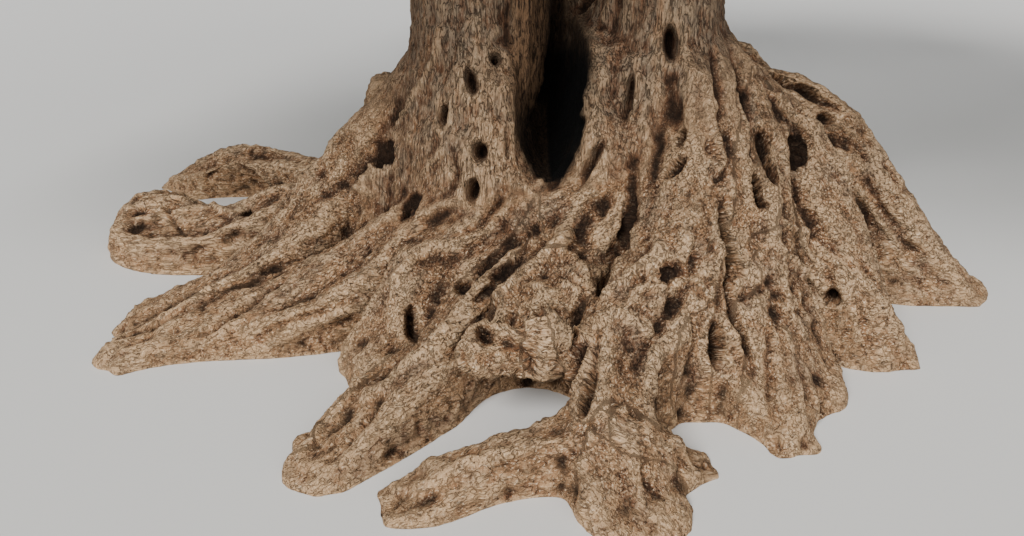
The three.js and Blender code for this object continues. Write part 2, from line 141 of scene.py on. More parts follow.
# %% Pits, and a smooth step
def pits(points, size, seed):
    """How near a point is to the nearest of scattered dots: 0 on a dot, about 1 between dots."""
    scaled = (points / np.asarray(size, dtype=np.float32)).T.astype(np.float32)
    low = np.floor(scaled)
    part = scaled - low
    cells = low.astype(np.int64).astype(np.uint32)
    nearest = np.full(len(points), FAR, dtype=np.float32)
    for step in np.ndindex(3, 3, 3):
        shift = np.array(step) - 1
        n = corner_numbers(cells + shift.astype(np.int64).astype(np.uint32)[:, None], seed)
        away = np.zeros(len(points), dtype=np.float32)
        for axis in range(3):
            away += (shift[axis] + share_of(n, axis) - part[axis]) ** 2
        nearest = np.minimum(nearest, away)
    return np.sqrt(nearest)


def swell(low, high, value):
    """0 at `low`, 1 at `high`, and a smooth rise between them."""
    t = np.clip((value - low) / (high - low), 0, 1)
    return t * t * (3 - 2 * t)


# %% [markdown]
# ## The sizes of the trunk
#
# These are the solids' own driving sizes, written again in metres: the flared base as radii at heights, the
# stems as stations, and each root as stations from the trunk out to its toe. A root's top edge, its crest,
# falls from high on the trunk to the height of its toe. The roots at the back don't show in the picture, so
# a rule lays them out. Four hollows differ from the solids' own by about one to four centimetres in place or
# half size, and the burl behind the left stem stands six centimetres further out, so that their outlines
# follow the picture more closely.

# %% Flare and stems
# Each row of the flare is a radius and its height.
FLARE = [
    (0.85, -0.06), (0.84, 0.0), (0.74, 0.23), (0.655, 0.48), (0.575, 0.72), (0.465, 0.93), (0.3, 1.06),
    (0.0, 1.1),
]
FLARE_DEPTH = 0.93

# Each row of a stem is x, y, z, half width and half depth.
STEMS = {
    "left": [
        (-0.27, 0.02, -0.06, 0.42, 0.48), (-0.31, 0.03, 0.5, 0.35, 0.45),
        (-0.345, 0.03, 0.9, 0.255, 0.425), (-0.36, 0.045, 1.2, 0.215, 0.375),
        (-0.31, 0.06, 1.6, 0.275, 0.33), (-0.38, 0.09, 1.95, 0.265, 0.285), (-0.54, 0.13, 2.3, 0.21, 0.23),
    ],
    "right": [
        (0.29, -0.01, -0.06, 0.43, 0.5), (0.305, -0.01, 0.5, 0.365, 0.46), (0.325, -0.01, 0.9, 0.28, 0.43),
        (0.33, -0.005, 1.2, 0.235, 0.38), (0.28, -0.02, 1.6, 0.29, 0.335),
        (0.35, -0.06, 1.95, 0.265, 0.29), (0.53, -0.11, 2.35, 0.21, 0.225),
    ],
    "back": [
        (-0.04, 0.23, -0.06, 0.33, 0.26), (-0.08, 0.265, 0.9, 0.25, 0.15),
        (-0.09, 0.27, 1.35, 0.22, 0.145), (-0.06, 0.2, 1.65, 0.18, 0.15),
    ],
}

print("flare:", 2 * FLARE[1][0], "m wide at the ground, stems:", list(STEMS))

# %% Roots
# Each row of a root is x, y, the height of its crest and its half width.
ROOTS = {
    "arched": [
        (-0.6, 0.2, 0.7, 0.17), (-1.02, 0.5, 0.4, 0.11), (-1.25, 0.72, 0.33, 0.08),
        (-1.5, 0.93, 0.3, 0.08), (-1.74, 1.06, 0.26, 0.085), (-1.93, 1.16, 0.14, 0.075),
        (-2.06, 1.25, 0.04, 0.055),
    ],
    "knuckle": [
        (-0.56, 0.14, 0.85, 0.19), (-0.95, 0.24, 0.47, 0.165), (-1.24, 0.23, 0.31, 0.14),
        (-1.48, 0.23, 0.23, 0.135), (-1.68, 0.3, 0.22, 0.16), (-1.83, 0.41, 0.215, 0.165),
        (-1.93, 0.48, 0.12, 0.13),
    ],
    "shoulder": [
        (-0.47, 0.04, 1.04, 0.18), (-0.66, 0.06, 0.84, 0.18), (-0.8, 0.06, 0.7, 0.17),
        (-0.93, 0.0, 0.56, 0.16), (-1.07, -0.17, 0.4, 0.15), (-1.27, -0.3, 0.25, 0.13),
        (-1.48, -0.39, 0.14, 0.11), (-1.65, -0.43, 0.06, 0.075),
    ],
    "apron": [
        (-0.43, -0.15, 0.86, 0.17), (-0.53, -0.34, 0.56, 0.16), (-0.72, -0.36, 0.38, 0.15),
        (-0.97, -0.42, 0.26, 0.13), (-1.22, -0.5, 0.18, 0.115), (-1.45, -0.59, 0.11, 0.095),
        (-1.64, -0.65, 0.045, 0.065),
    ],
    "lobe": [
        (-0.29, -0.33, 0.8, 0.15), (-0.35, -0.49, 0.54, 0.14), (-0.48, -0.57, 0.43, 0.13),
        (-0.58, -0.69, 0.31, 0.13), (-0.65, -0.79, 0.17, 0.11),
    ],
    "diagonal": [
        (0.33, -0.28, 0.84, 0.15), (0.11, -0.52, 0.62, 0.13), (-0.03, -0.61, 0.51, 0.11),
        (-0.23, -0.72, 0.39, 0.105), (-0.38, -0.87, 0.3, 0.1), (-0.51, -1.03, 0.21, 0.105),
        (-0.65, -1.19, 0.13, 0.105), (-0.79, -1.3, 0.055, 0.08),
    ],
    "inner_toe": [
        (-0.48, -0.98, 0.2, 0.09), (-0.64, -1.09, 0.13, 0.08), (-0.77, -1.17, 0.06, 0.06),
    ],
    "overhang": [
        (0.0, -0.56, 0.5, 0.12), (-0.06, -0.76, 0.47, 0.15), (-0.11, -0.9, 0.43, 0.17),
        (-0.13, -0.98, 0.33, 0.16),
    ],
    "front": [
        (0.4, -0.2, 1.15, 0.16), (0.43, -0.42, 1.0, 0.15), (0.37, -0.65, 0.77, 0.13),
        (0.26, -0.84, 0.58, 0.12), (0.15, -0.99, 0.45, 0.105), (0.09, -1.11, 0.36, 0.095),
        (0.08, -1.27, 0.27, 0.105), (0.13, -1.4, 0.17, 0.125), (0.18, -1.48, 0.07, 0.11),
    ],
    "front_branch": [
        (0.06, -1.27, 0.24, 0.1), (-0.12, -1.31, 0.18, 0.08), (-0.28, -1.36, 0.14, 0.072),
        (-0.4, -1.41, 0.1, 0.07), (-0.5, -1.44, 0.05, 0.06),
    ],
    "front_toe": [
        (0.12, -1.28, 0.24, 0.1), (0.24, -1.28, 0.14, 0.08), (0.31, -1.27, 0.05, 0.06),
    ],
    "plates": [
        (0.38, -0.6, 0.62, 0.12), (0.39, -0.8, 0.48, 0.13), (0.41, -0.93, 0.33, 0.11),
    ],
    "ridge": [
        (0.47, -0.15, 1.13, 0.15), (0.51, -0.38, 0.95, 0.12), (0.53, -0.59, 0.76, 0.095),
        (0.52, -0.73, 0.51, 0.085), (0.48, -0.87, 0.35, 0.08), (0.53, -0.93, 0.17, 0.075),
    ],
    "apron_front": [
        (0.56, -0.56, 0.7, 0.12), (0.58, -0.76, 0.46, 0.115), (0.61, -0.93, 0.27, 0.105),
        (0.635, -1.07, 0.14, 0.085), (0.655, -1.15, 0.05, 0.06),
    ],
    "apron_middle": [
        (0.56, -0.12, 1.1, 0.14), (0.64, -0.3, 0.94, 0.125), (0.64, -0.5, 0.78, 0.115),
        (0.66, -0.69, 0.56, 0.11), (0.74, -0.83, 0.32, 0.105), (0.83, -0.91, 0.11, 0.08),
    ],
    "apron_side": [
        (0.58, -0.04, 1.06, 0.15), (0.79, -0.2, 0.9, 0.135), (0.9, -0.42, 0.7, 0.12),
        (0.99, -0.56, 0.49, 0.11), (1.09, -0.64, 0.27, 0.095), (1.19, -0.63, 0.07, 0.065),
    ],
    "shoulder_right": [
        (0.54, 0.04, 1.08, 0.17), (0.74, 0.06, 0.95, 0.16), (0.92, 0.07, 0.86, 0.15),
        (1.1, 0.06, 0.78, 0.14), (1.24, 0.01, 0.66, 0.135), (1.37, -0.09, 0.44, 0.13),
        (1.54, -0.12, 0.21, 0.11), (1.69, -0.11, 0.06, 0.08),
    ],
    "shoulder_back": [
        (0.58, 0.16, 1.04, 0.17), (0.88, 0.27, 0.85, 0.155), (1.13, 0.34, 0.6, 0.145),
        (1.35, 0.39, 0.33, 0.125), (1.54, 0.4, 0.09, 0.09),
    ],
}

print("roots:", list(ROOTS))

# %% Roots at the back, burls and hollows
# The roots at the back run out from one heading round to another. A cosine varies how far each reaches and
# by how many degrees it bends. Its crest falls to a share of its half width at the toe.
BACK_COUNT = 6
BACK_HEADINGS = (38, 132)
BACK_NEAR, BACK_REACH = 0.35, 1.56
BACK_CREST = 0.82
BACK_TOE_CREST = 0.6
BACK_HALVES = (0.215, 0.11)
BACK_TURN_STEP = 2.4
BACK_BEND = 7
BACK_REACH_VARY = 0.12
BACK_FALL = 1.5
BACK_TAPER = 0.7

# Ellipsoids: middle, then half sizes.
BURLS = [
    (-1.84, 0.43, 0.07, 0.19, 0.17, 0.165), (-0.745, 0.43, 0.68, 0.105, 0.1, 0.115),
    (0.3, 0.62, 0.42, 0.21, 0.19, 0.2),
]
HOLLOWS = [
    (-0.064, -0.27, 0.9, 0.126, 0.42, 0.33), (-0.066, -0.19, 1.2, 0.112, 0.4, 0.36),
    (-0.07, -0.6, 0.73, 0.13, 0.17, 0.125), (-0.145, -1.06, 0.03, 0.20, 0.22, 0.20),
    (-1.62, 0.83, 0.03, 0.36, 0.19, 0.19), (0.12, 0.3, 1.33, 0.03, 0.26, 0.15),
    (0.18, -0.47, 0.925, 0.05, 0.08, 0.1), (-0.38, 0.42, 0.82, 0.08, 0.16, 0.13),
]
print("roots in all:", len(ROOTS) + BACK_COUNT, "burls:", len(BURLS), "hollows:", len(HOLLOWS))

# %% [markdown]
# ## Fields that melt together
#
# Separate tubes joined by a Boolean would meet in hard creases, and old wood never does. A field does
# better: it is the rough distance from a point to the surface, negative inside the wood. Two fields can then
# be joined by a smooth minimum, which fills the crease between them as wood grows over it.

# %% Smooth joins
def join(a, b, soft):
    """The union of two fields, filleted over the distance `soft`."""
    share = np.clip(0.5 + 0.5 * (b - a) / soft, 0, 1)
    return b + (a - b) * share - soft * share * (1 - share)


def carve(a, hole, soft):
    """A field with another cut out of it, with a rounded lip."""
    return -join(-a, hole, soft)


def lerp(a, b, t):
    return a + (b - a) * t


UP = np.array((0.0, 0.0, 1.0))


def unit(v):
    return v / np.linalg.norm(v, axis=-1, keepdims=True)


def ellipsoid_field(x, y, z, shape):
    ex, ey, ez, a, b, c = shape
    reach = np.sqrt(((x - ex) / a) ** 2 + ((y - ey) / b) ** 2 + ((z - ez) / c) ** 2)
    return (reach - 1) * min(a, b, c)


# %% [markdown]
# ## The grid
#
# The fields are measured on a block of small cells, one level at a time. A root only needs its distance on
# the ground plan, which is the same at every level, so it is measured once and kept.

# %% Grid
CELL = 0.020
GRID_LOW = np.array((-2.50, -1.86, -0.03))
GRID_HIGH = np.array((2.06, 1.96, 2.86))
SHAPE = np.ceil((GRID_HIGH - GRID_LOW) / CELL).astype(int)
PLAN_X, PLAN_Y = np.meshgrid(
    (GRID_LOW[0] + CELL * np.arange(SHAPE[0])).astype(np.float32),
    (GRID_LOW[1] + CELL * np.arange(SHAPE[1])).astype(np.float32),
    indexing="ij",
)
LEVELS = GRID_LOW[2] + CELL * np.arange(SHAPE[2])
print("cells:", SHAPE, "of", CELL, "m")

# %% [markdown]
# ## Root lines
#
# Each root is a line first. Its stations are joined by a smooth curve, and near its end two thin toes fork
# off, because an old root splits where it goes to ground. The line's distance is measured on the ground
# plan, in a window just large enough for that root, which keeps the work small.

# %% Root paths
PATH_STEPS = 20


def smooth_line(rows, steps=PATH_STEPS):
    """Points spread evenly on a curve that passes through every row."""
    rows = np.array(rows, dtype=float)
    before = np.vstack([2 * rows[0] - rows[1], rows[:-1]])
    after = np.vstack([rows[1:], 2 * rows[-1] - rows[-2]])
    slopes = (after - before) / 2
    places = np.linspace(0, len(rows) - 1, steps + 1)
    low = np.minimum(places.astype(int), len(rows) - 2)
    t = (places - low)[:, None]
    a, b = rows[low], rows[low + 1]
    start, end = slopes[low], slopes[low + 1]
    return (
        a * (1 + 2 * t) * (1 - t) ** 2
        + b * t * t * (3 - 2 * t)
        + start * t * (1 - t) ** 2
        + end * t * t * (t - 1)
    )


def back_root(index):
    heading = lerp(*BACK_HEADINGS, index / (BACK_COUNT - 1))
    vary = math.cos(BACK_TURN_STEP * index)
    t = np.linspace(0, 1, PATH_STEPS + 1)
    turn = np.radians(heading + BACK_BEND * vary * t)
    away = lerp(BACK_NEAR, BACK_REACH + BACK_REACH_VARY * vary, t)
    crest = lerp(BACK_CREST, BACK_HALVES[1] * BACK_TOE_CREST, 1 - (1 - t) ** BACK_FALL)
    half = lerp(*BACK_HALVES, t**BACK_TAPER)
    return np.stack([away * np.cos(turn), away * np.sin(turn), crest, half], axis=1)


root_lines = [smooth_line(rows) for rows in ROOTS.values()] + [back_root(i) for i in range(BACK_COUNT)]
print("root lines:", len(root_lines), "of", PATH_STEPS + 1, "points")

# %% Toes near the ends of the roots
TOE_FROM = 0.78
TOE_TURNS = (-24, 20)
TOE_STEPS = 9
TOE_SHARE = 0.7
TOE_EXTRA = 0.08
TOE_HALVES = (0.05, 0.025)
TOE_CREST = 0.8
TOE_END = 0.03


def turned(way, degrees):
    """A level way turned round."""
    cosine, sine = math.cos(math.radians(degrees)), math.sin(math.radians(degrees))
    return np.array((way[0] * cosine - way[1] * sine, way[0] * sine + way[1] * cosine))


def toes_of(line):
    """Thin toes that fork off near a root's end."""
    start = line[int(TOE_FROM * (len(line) - 1))]
    rest = line[-1, :2] - start[:2]
    reach = np.linalg.norm(rest) * TOE_SHARE + TOE_EXTRA
    t = np.linspace(0, 1, TOE_STEPS)
    for degrees in TOE_TURNS:
        path = start[:2] + turned(unit(rest), degrees) * reach * t[:, None]
        yield path, lerp(start[2] * TOE_CREST, TOE_END, t), lerp(*TOE_HALVES, t)


# %% The plan of a root
ROOT_MARGIN = 0.30
THIN_MARGIN = 0.12


def plan_of_root(path, crest, half, margin=THIN_MARGIN):
    """The window of the plan round a root, with the distance to it, and its crest and half width there."""
    low = path.min(axis=0) - half.max() - margin
    high = path.max(axis=0) + half.max() + margin
    first = np.maximum(((low - GRID_LOW[:2]) / CELL).astype(int), 0)
    last = np.minimum(((high - GRID_LOW[:2]) / CELL).astype(int) + 1, SHAPE[:2])
    window = (slice(first[0], last[0]), slice(first[1], last[1]))
    x, y = PLAN_X[window], PLAN_Y[window]
    best = np.full(x.shape, FAR, dtype=np.float32)
    place = np.zeros(x.shape, dtype=np.float32)
    for i in range(len(path) - 1):
        a, way = path[i], path[i + 1] - path[i]
        t = np.clip(((x - a[0]) * way[0] + (y - a[1]) * way[1]) / (way @ way), 0, 1)
        away = (x - a[0] - way[0] * t) ** 2 + (y - a[1] - way[1] * t) ** 2
        closer = away < best
        best = np.where(closer, away, best)
        place = np.where(closer, i + t, place)
    steps = np.arange(len(path))
    return {
        "window": window,
        "away": np.sqrt(best),
        "crest": np.interp(place, steps, crest).astype(np.float32),
        "half": np.interp(place, steps, half).astype(np.float32),
        "top": float(crest.max()),
    }


# %% [markdown]
# ## Strands
#
# A root this old isn't one rounded bar. It is a bundle of strands that lie beside each other, part and join
# again, and the grooves between them run on up the trunk. Each root gets a few thinner roots of its own that
# wander along its flanks, placed by a seeded random rule so that every run grows the same tree.

# %% Strands along each root
# Sides, wander, crest and half widths are shares of the root's own, and the ripple and the lowest crest are
# in metres. A strand further out lies lower.
STRAND_SEED = 41
STRAND_SIDES = (-0.85, 0.05, 0.9)
STRAND_WANDER = 0.35
STRAND_WAVES = (0.7, 1.4)
STRAND_CREST, STRAND_FALL = 1.05, 0.24
STRAND_RIPPLE, RIPPLE_TURN = 0.02, 9
STRAND_LOWEST = 0.035
STRAND_HALVES = (0.30, 0.44)
# The root that is left between its strands is a little lower and narrower than the whole.
CORE_CREST, CORE_HALF = 0.94, 0.86


def strands_of(path, crest, half, random):
    """The paths of a root's strands, with their crests and half widths."""
    t = np.linspace(0, 1, PATH_STEPS + 1)
    way = np.gradient(path, axis=0)
    side = np.stack([-way[:, 1], way[:, 0]], axis=1) / np.linalg.norm(way, axis=1)[:, None]
    for offset in STRAND_SIDES:
        turn = 2 * np.pi * (random.uniform(*STRAND_WAVES) * t + random.uniform(0, 1))
        wander = offset + STRAND_WANDER * np.sin(turn)
        ridge = half * wander
        ripple = STRAND_RIPPLE * np.sin(RIPPLE_TURN * t + random.uniform(0, 6))
        height = crest * (STRAND_CREST - STRAND_FALL * np.abs(wander)) + ripple
        thick = half * random.uniform(*STRAND_HALVES)
        yield path + side * ridge[:, None], np.maximum(height, STRAND_LOWEST), thick


random = np.random.default_rng(STRAND_SEED)
root_plans = []
for line in root_lines:
    path, crest, half = line[:, :2], line[:, 2], line[:, 3]
    root_plans.append(plan_of_root(path, crest * CORE_CREST, half * CORE_HALF, ROOT_MARGIN))
    root_plans += [plan_of_root(*strand) for strand in strands_of(path, crest, half, random)]
    root_plans += [plan_of_root(*toe) for toe in toes_of(line)]
print("roots and strands:", len(root_plans))

# %% [markdown]
# ## The buttress at the left
#
# In the picture the left shoulder doesn't meet its stem in a corner. It sweeps up to it as a buttress, and
# that sweep is the outline of the trunk on this side. One more root gives it, higher and narrower than the
# shoulder on which it stands, so the two melt into one flank.

# %% Buttress
# Each row is x, y, the height of its crest and its half width, as for a root.
BUTTRESS = [
    (-0.46, 0.03, 1.12, 0.14), (-0.57, 0.02, 1.0, 0.14), (-0.66, 0.02, 0.895, 0.135),
    (-0.76, 0.02, 0.775, 0.13), (-0.86, 0.01, 0.655, 0.12), (-0.97, -0.04, 0.49, 0.1),
]
buttress = smooth_line(BUTTRESS)
root_plans.append(plan_of_root(buttress[:, :2], buttress[:, 2], buttress[:, 3]))
print("buttress from", buttress[0].round(2), "to", buttress[-1].round(2))

# %% [markdown]
# ## The trunk's field
#
# Now every form is melted into one field: the stems, the flare, the roots and the burls are joined, the
# hollows are carved out, and last come the ribs inside the trunk and the tongues that hang down in front. A
# root is as high as its crest and spreads towards the ground, so its foot is wider than its back.

# %% Fields of the roots, stems and flare
ROOT_MELT = 0.04
STEM_MELT = 0.096
FLARE_MELT = 0.16
BURL_MELT = 0.1
HOLLOW_LIP = 0.05
TALL = 4.0
# A root is this share of its half width at the crest, and grows by another share towards the ground.
CREST_WIDTH, FOOT_SPREAD = 0.82, 0.42
ROOT_ROUNDING = 0.8
STEM_STEPS = 60
STEM_CUT = 0.05
FLARE_SLOPE = 0.8
# Ribs of old wood left standing in the hollow: x, y, z, half width, half depth and half height.
HEART_RIBS = [
    (-0.168, -0.24, 1.08, 0.036, 0.060, 0.35), (-0.138, -0.11, 1.10, 0.036, 0.060, 0.37),
    (-0.105, 0.01, 1.14, 0.040, 0.060, 0.40),
]
RIB_MELT = 0.02
# Tongues of wood that hang over the hollow in front, as ellipsoids too.
OVERHANG_TONGUES = [(-0.275, -1.11, 0.31, 0.105, 0.055, 0.095), (-0.10, -1.11, 0.33, 0.082, 0.055, 0.12)]
TONGUE_MELT = 0.05


def root_level(plan, z):
    """A root's field at one level: as high as the crest, with a rounded top and a foot that spreads."""
    away, crest, half = plan["away"], plan["crest"], plan["half"]
    spread = half * (CREST_WIDTH + FOOT_SPREAD * np.clip(1 - z / crest, 0, 1))
    rounded = ROOT_ROUNDING * np.minimum(half, crest)
    beside = np.maximum(away - (spread - rounded), 0)
    above = np.maximum(z - (crest - rounded), 0)
    return np.sqrt(beside * beside + above * above) - rounded


STEM_TABLES = {name: smooth_line(rows, STEM_STEPS) for name, rows in STEMS.items()}


def stem_level(table, z):
    """A stem's field at one level, cut off flat near its top."""
    cx, cy, half, depth = (np.interp(z, table[:, 2], table[:, i]) for i in (0, 1, 3, 4))
    reach = np.sqrt(((PLAN_X - cx) / half) ** 2 + ((PLAN_Y - cy) / depth) ** 2)
    body = (reach - 1) * (0.5 * (half + depth))
    return np.maximum(body, z - table[-1, 2] + STEM_CUT)


def flare_level(z):
    """The flare's field at one level. Its side slopes, so the true distance is a share of the level one."""
    radii, heights = np.array(FLARE).T
    radius = np.interp(z, heights, radii)
    above = max(0.0, z - heights[-1])
    return FLARE_SLOPE * (np.sqrt(PLAN_X**2 + (PLAN_Y / FLARE_DEPTH) ** 2) - radius) + above


# %% Measuring the field level by level
# A form is only measured at levels that it can reach: its own height and this much room.
STEM_ROOM = 0.1
FLARE_ROOM = 0.1
ROOT_ROOM = 0.15
# What comes after the roots: ellipsoids, how each meets the wood, how softly, and the room.
ELLIPSOIDS = (
    (BURLS, join, BURL_MELT, 0.2),
    (HOLLOWS, carve, HOLLOW_LIP, 0.2),
    (HEART_RIBS, join, RIB_MELT, 0.1),
    (OVERHANG_TONGUES, join, TONGUE_MELT, 0.1),
)


def wood_at(z):
    """The field of the whole trunk at one level."""
    wood = np.full(PLAN_X.shape, TALL, dtype=np.float32)
    for table in STEM_TABLES.values():
        if z < table[-1, 2] + STEM_ROOM:
            wood = join(wood, stem_level(table, z), STEM_MELT)
    if z < FLARE[-1][1] + FLARE_ROOM:
        wood = join(wood, flare_level(z), FLARE_MELT)
    for plan in root_plans:
        if z < plan["top"] + ROOT_ROOM:
            wood[plan["window"]] = join(wood[plan["window"]], root_level(plan, z), ROOT_MELT)
    for shapes, meet, soft, room in ELLIPSOIDS:
        for shape in shapes:
            if abs(z - shape[2]) < shape[5] + room:
                wood = meet(wood, ellipsoid_field(PLAN_X, PLAN_Y, z, shape), soft)
    return wood


field = np.empty(tuple(SHAPE), dtype=np.float32)
for level, z in enumerate(LEVELS):
    field[:, :, level] = wood_at(z)
print("field from", round(float(field.min()), 3), "to", round(float(field.max()), 3))

# %% [markdown]
# ## The boughs' lines
#
# Each bough bends up from its fork to the foot of its own foliage, with a slight sway. The rule is the one
# that made the solids, so the lines are the same. Six boughs leave the stems, and nine leave other boughs.

# %% Boughs
# A bough grows from a height on a stem, or from a share of another bough's length. Then come its radii, and
# the mass of foliage at its tip: heading, distance from the middle, height, radius and half height.
BOUGHS = {
    "top_left": ("left", 2.30, 0.195, 0.068, (158, 1.01, 4.95, 1.18, 0.93)),
    "west": ("left", 2.03, 0.165, 0.060, (178, 2.60, 3.55, 1.25, 0.93)),
    "north_west": ("left", 2.10, 0.155, 0.060, (128, 2.50, 3.85, 1.20, 0.93)),
    "top_right": ("right", 2.35, 0.195, 0.066, (-6, 1.08, 5.05, 1.15, 0.95)),
    "east": ("right", 2.10, 0.165, 0.060, (0, 2.70, 3.58, 1.25, 0.93)),
    "south_east": ("right", 2.03, 0.150, 0.056, (-48, 2.56, 3.55, 1.18, 0.92)),
    "south_west": ("west", 0.40, 0.095, 0.048, (-134, 2.55, 3.40, 1.20, 0.90)),
    "low_west": ("west", 0.70, 0.068, 0.038, (-164, 3.18, 2.65, 0.80, 0.68)),
    "north": ("north_west", 0.35, 0.095, 0.048, (86, 2.40, 3.75, 1.20, 0.93)),
    "front": ("top_left", 0.30, 0.095, 0.048, (-95, 2.15, 3.95, 1.15, 0.90)),
    "top_back": ("top_left", 0.50, 0.088, 0.045, (98, 1.35, 4.80, 1.08, 0.90)),
    "north_east": ("east", 0.35, 0.095, 0.048, (40, 2.65, 3.80, 1.20, 0.93)),
    "low_east": ("south_east", 0.62, 0.072, 0.040, (-26, 3.15, 2.80, 0.82, 0.70)),
    "top_front": ("top_right", 0.45, 0.086, 0.045, (-78, 1.38, 4.85, 1.08, 0.88)),
    "crest": ("top_right", 0.62, 0.078, 0.044, (62, 0.48, 5.50, 0.95, 0.72)),
}
ORDER = list(BOUGHS)
print("boughs:", len(ORDER))

# %% The line of a bough
# A bough ends short of its foliage's middle. It sags if it rises, is lifted if it falls, and sways a little.
BOUGH_STOP = 0.7
BOUGH_RISE = 0.32
RISING_DIP, FALLING_LIFT = -0.6, 0.2
BOUGH_SWAY = 0.045
BOUGH_TAPER = 0.8
LENGTH_STEPS = 41


def space_of(name):
    """The middle and the half sizes of the space that a mass keeps to."""
    heading, distance, height, radius, half_height = BOUGHS[name][4]
    turn = math.radians(heading)
    middle = np.array((distance * math.cos(turn), distance * math.sin(turn), height))
    return middle, np.array((radius, radius, half_height))


def fork_point(name):
    parent, fork = BOUGHS[name][:2]
    if parent in BOUGHS:
        return bough_line(parent, fork)
    rows = np.array(STEMS[parent])
    return np.array([np.interp(fork, rows[:, 2], rows[:, axis]) for axis in range(3)])


def bough_line(name, t):
    """Points of a bough, for shares `t` of its length."""
    t = np.asarray(t, dtype=float)[..., None]
    start = fork_point(name)
    middle, radii = space_of(name)
    foot = middle + BOUGH_STOP * unit(start - middle) * radii
    rise = (foot[2] - start[2]) * BOUGH_RISE
    bend = (start + foot) / 2 + UP * (FALLING_LIFT if rise < 0 else RISING_DIP * rise)
    side = unit(np.cross(UP, foot - start))
    sway = BOUGH_SWAY * np.linalg.norm(foot - start)
    curve = start * (1 - t) ** 2 + bend * 2 * t * (1 - t) + foot * t * t
    return curve + side * sway * np.sin(np.pi * t) * np.sin(2 * np.pi * t + ORDER.index(name))


def bough_radius(name, t):
    foot, tip = BOUGHS[name][2:4]
    return lerp(foot, tip, np.asarray(t) ** BOUGH_TAPER)


def length_of(name):
    line = bough_line(name, np.linspace(0, 1, LENGTH_STEPS))
    return float(np.linalg.norm(np.diff(line, axis=0), axis=1).sum())


print("lengths:", {name: round(length_of(name), 2) for name in ORDER})

# %% [markdown]
# ## Collars
#
# A bough doesn't stand on a stem like a pipe: the stem's wood runs up into it and thickens its foot. So the
# first half metre of each bough that leaves a stem is melted into the same field, thick at first and thinner
# than the bough at its end, where the bough's own skin takes over.

# %% Collars melted into the trunk
COLLAR_LENGTH = 0.55
SIDE_SWELL = 0.35
TOP_SWELL = 0.06
COLLAR_SINK = 0.03
COLLAR_STEPS = 9
COLLAR_MARGIN = 0.42
COLLAR_MELT = 0.12


def block_round(points, margin):
    """A window of the grid round some points, and its cells' places."""
    low = np.maximum(((points.min(axis=0) - margin - GRID_LOW) / CELL).astype(int), 0)
    high = np.minimum(((points.max(axis=0) + margin - GRID_LOW) / CELL).astype(int) + 1, SHAPE)
    window = tuple(slice(a, b) for a, b in zip(low, high))
    places = np.meshgrid(*(GRID_LOW[i] + CELL * np.arange(low[i], high[i]) for i in range(3)), indexing="ij")
    return window, np.stack(places, axis=-1).astype(np.float32)


def tapered_line_field(places, line, radii):
    """The distance to a bent limb whose radius changes along it."""
    nearest = np.full(places.shape[:3], TALL, dtype=np.float32)
    for a, b, start, end in zip(line[:-1], line[1:], radii[:-1], radii[1:]):
        way = b - a
        t = np.clip((places - a) @ way / (way @ way), 0, 1)
        away = np.linalg.norm(places - a - t[..., None] * way, axis=-1)
        nearest = np.minimum(nearest, away - lerp(start, end, t))
    return nearest


for name in ORDER:
    if BOUGHS[name][0] not in STEMS:
        continue
    shares = np.linspace(0, COLLAR_LENGTH / length_of(name), COLLAR_STEPS)
    run = np.linspace(0, 1, COLLAR_STEPS)
    thicker = TOP_SWELL if name.startswith("top") else SIDE_SWELL
    radii = bough_radius(name, shares) * (1 + thicker * (1 - run) ** 2) - COLLAR_SINK * run**3
    line = bough_line(name, shares)
    window, places = block_round(line, COLLAR_MARGIN)
    field[window] = join(field[window], tapered_line_field(places, line, radii), COLLAR_MELT)
print("collars melted in")

# %% [markdown]
# ## Holes
#
# Knots that rotted out have left holes all over the trunk, and rain has drilled the roots with dents. The
# larger ones are placed one by one, by where they show in the picture: a line from the eye through the
# picture meets the wood at that place. Each has its real width, height and depth. It runs partly square to
# the surface and partly away from the eye, so that its dark end shows.

# %% Places seen from the eye
PICTURE_WIDTH, PICTURE_HEIGHT = 1024, 536
PIXELS_PER_RADIAN = FOCAL_LENGTH / SENSOR_WIDTH * PICTURE_WIDTH
LOOK_NEAR, LOOK_FAR, LOOK_STEP = 1.6, 6.0, 0.008
LOOK_STEPS = np.arange(LOOK_NEAR, LOOK_FAR, LOOK_STEP)


def field_at(places):
    """The field at places, blended between cells."""
    scaled = np.clip((places - GRID_LOW) / CELL, 0, SHAPE - 1.001)
    low = scaled.astype(int)
    part = scaled - low
    total = np.zeros(len(places))
    for corner in np.ndindex(2, 2, 2):
        i, j, k = (low + corner).T
        weight = np.prod(np.where(corner, part, 1 - part), axis=1)
        total += weight * field[i, j, k]
    return total


def seen_at(across, down):
    """The first wood on the line from the eye through a place of the picture, and the way out of it."""
    x = (across - PICTURE_WIDTH / 2) / PIXELS_PER_RADIAN
    y = (PICTURE_HEIGHT / 2 - down) / PIXELS_PER_RADIAN
    sink, rise = math.sin(LOOK_DOWN), math.cos(LOOK_DOWN)
    way = np.array((x, rise + y * sink, y * rise - sink))
    places = np.array(EYE) + LOOK_STEPS[:, None] * way
    inside = np.flatnonzero((field_at(places) < 0) & np.all(places > GRID_LOW, axis=1))
    place = places[inside[0]]
    steps = 2 * CELL * np.eye(3)
    slope = field_at(place + steps) - field_at(place - steps)
    return place, unit(slope)


def hole_axes(outward, lean):
    """Across, up and out of a hole, leaning by `lean` degrees counterclockwise."""
    level = unit(np.cross(UP, outward))
    upward = np.cross(outward, level)
    turn = math.radians(lean)
    across = level * math.cos(turn) + upward * math.sin(turn)
    return np.stack([across, np.cross(outward, across), outward])


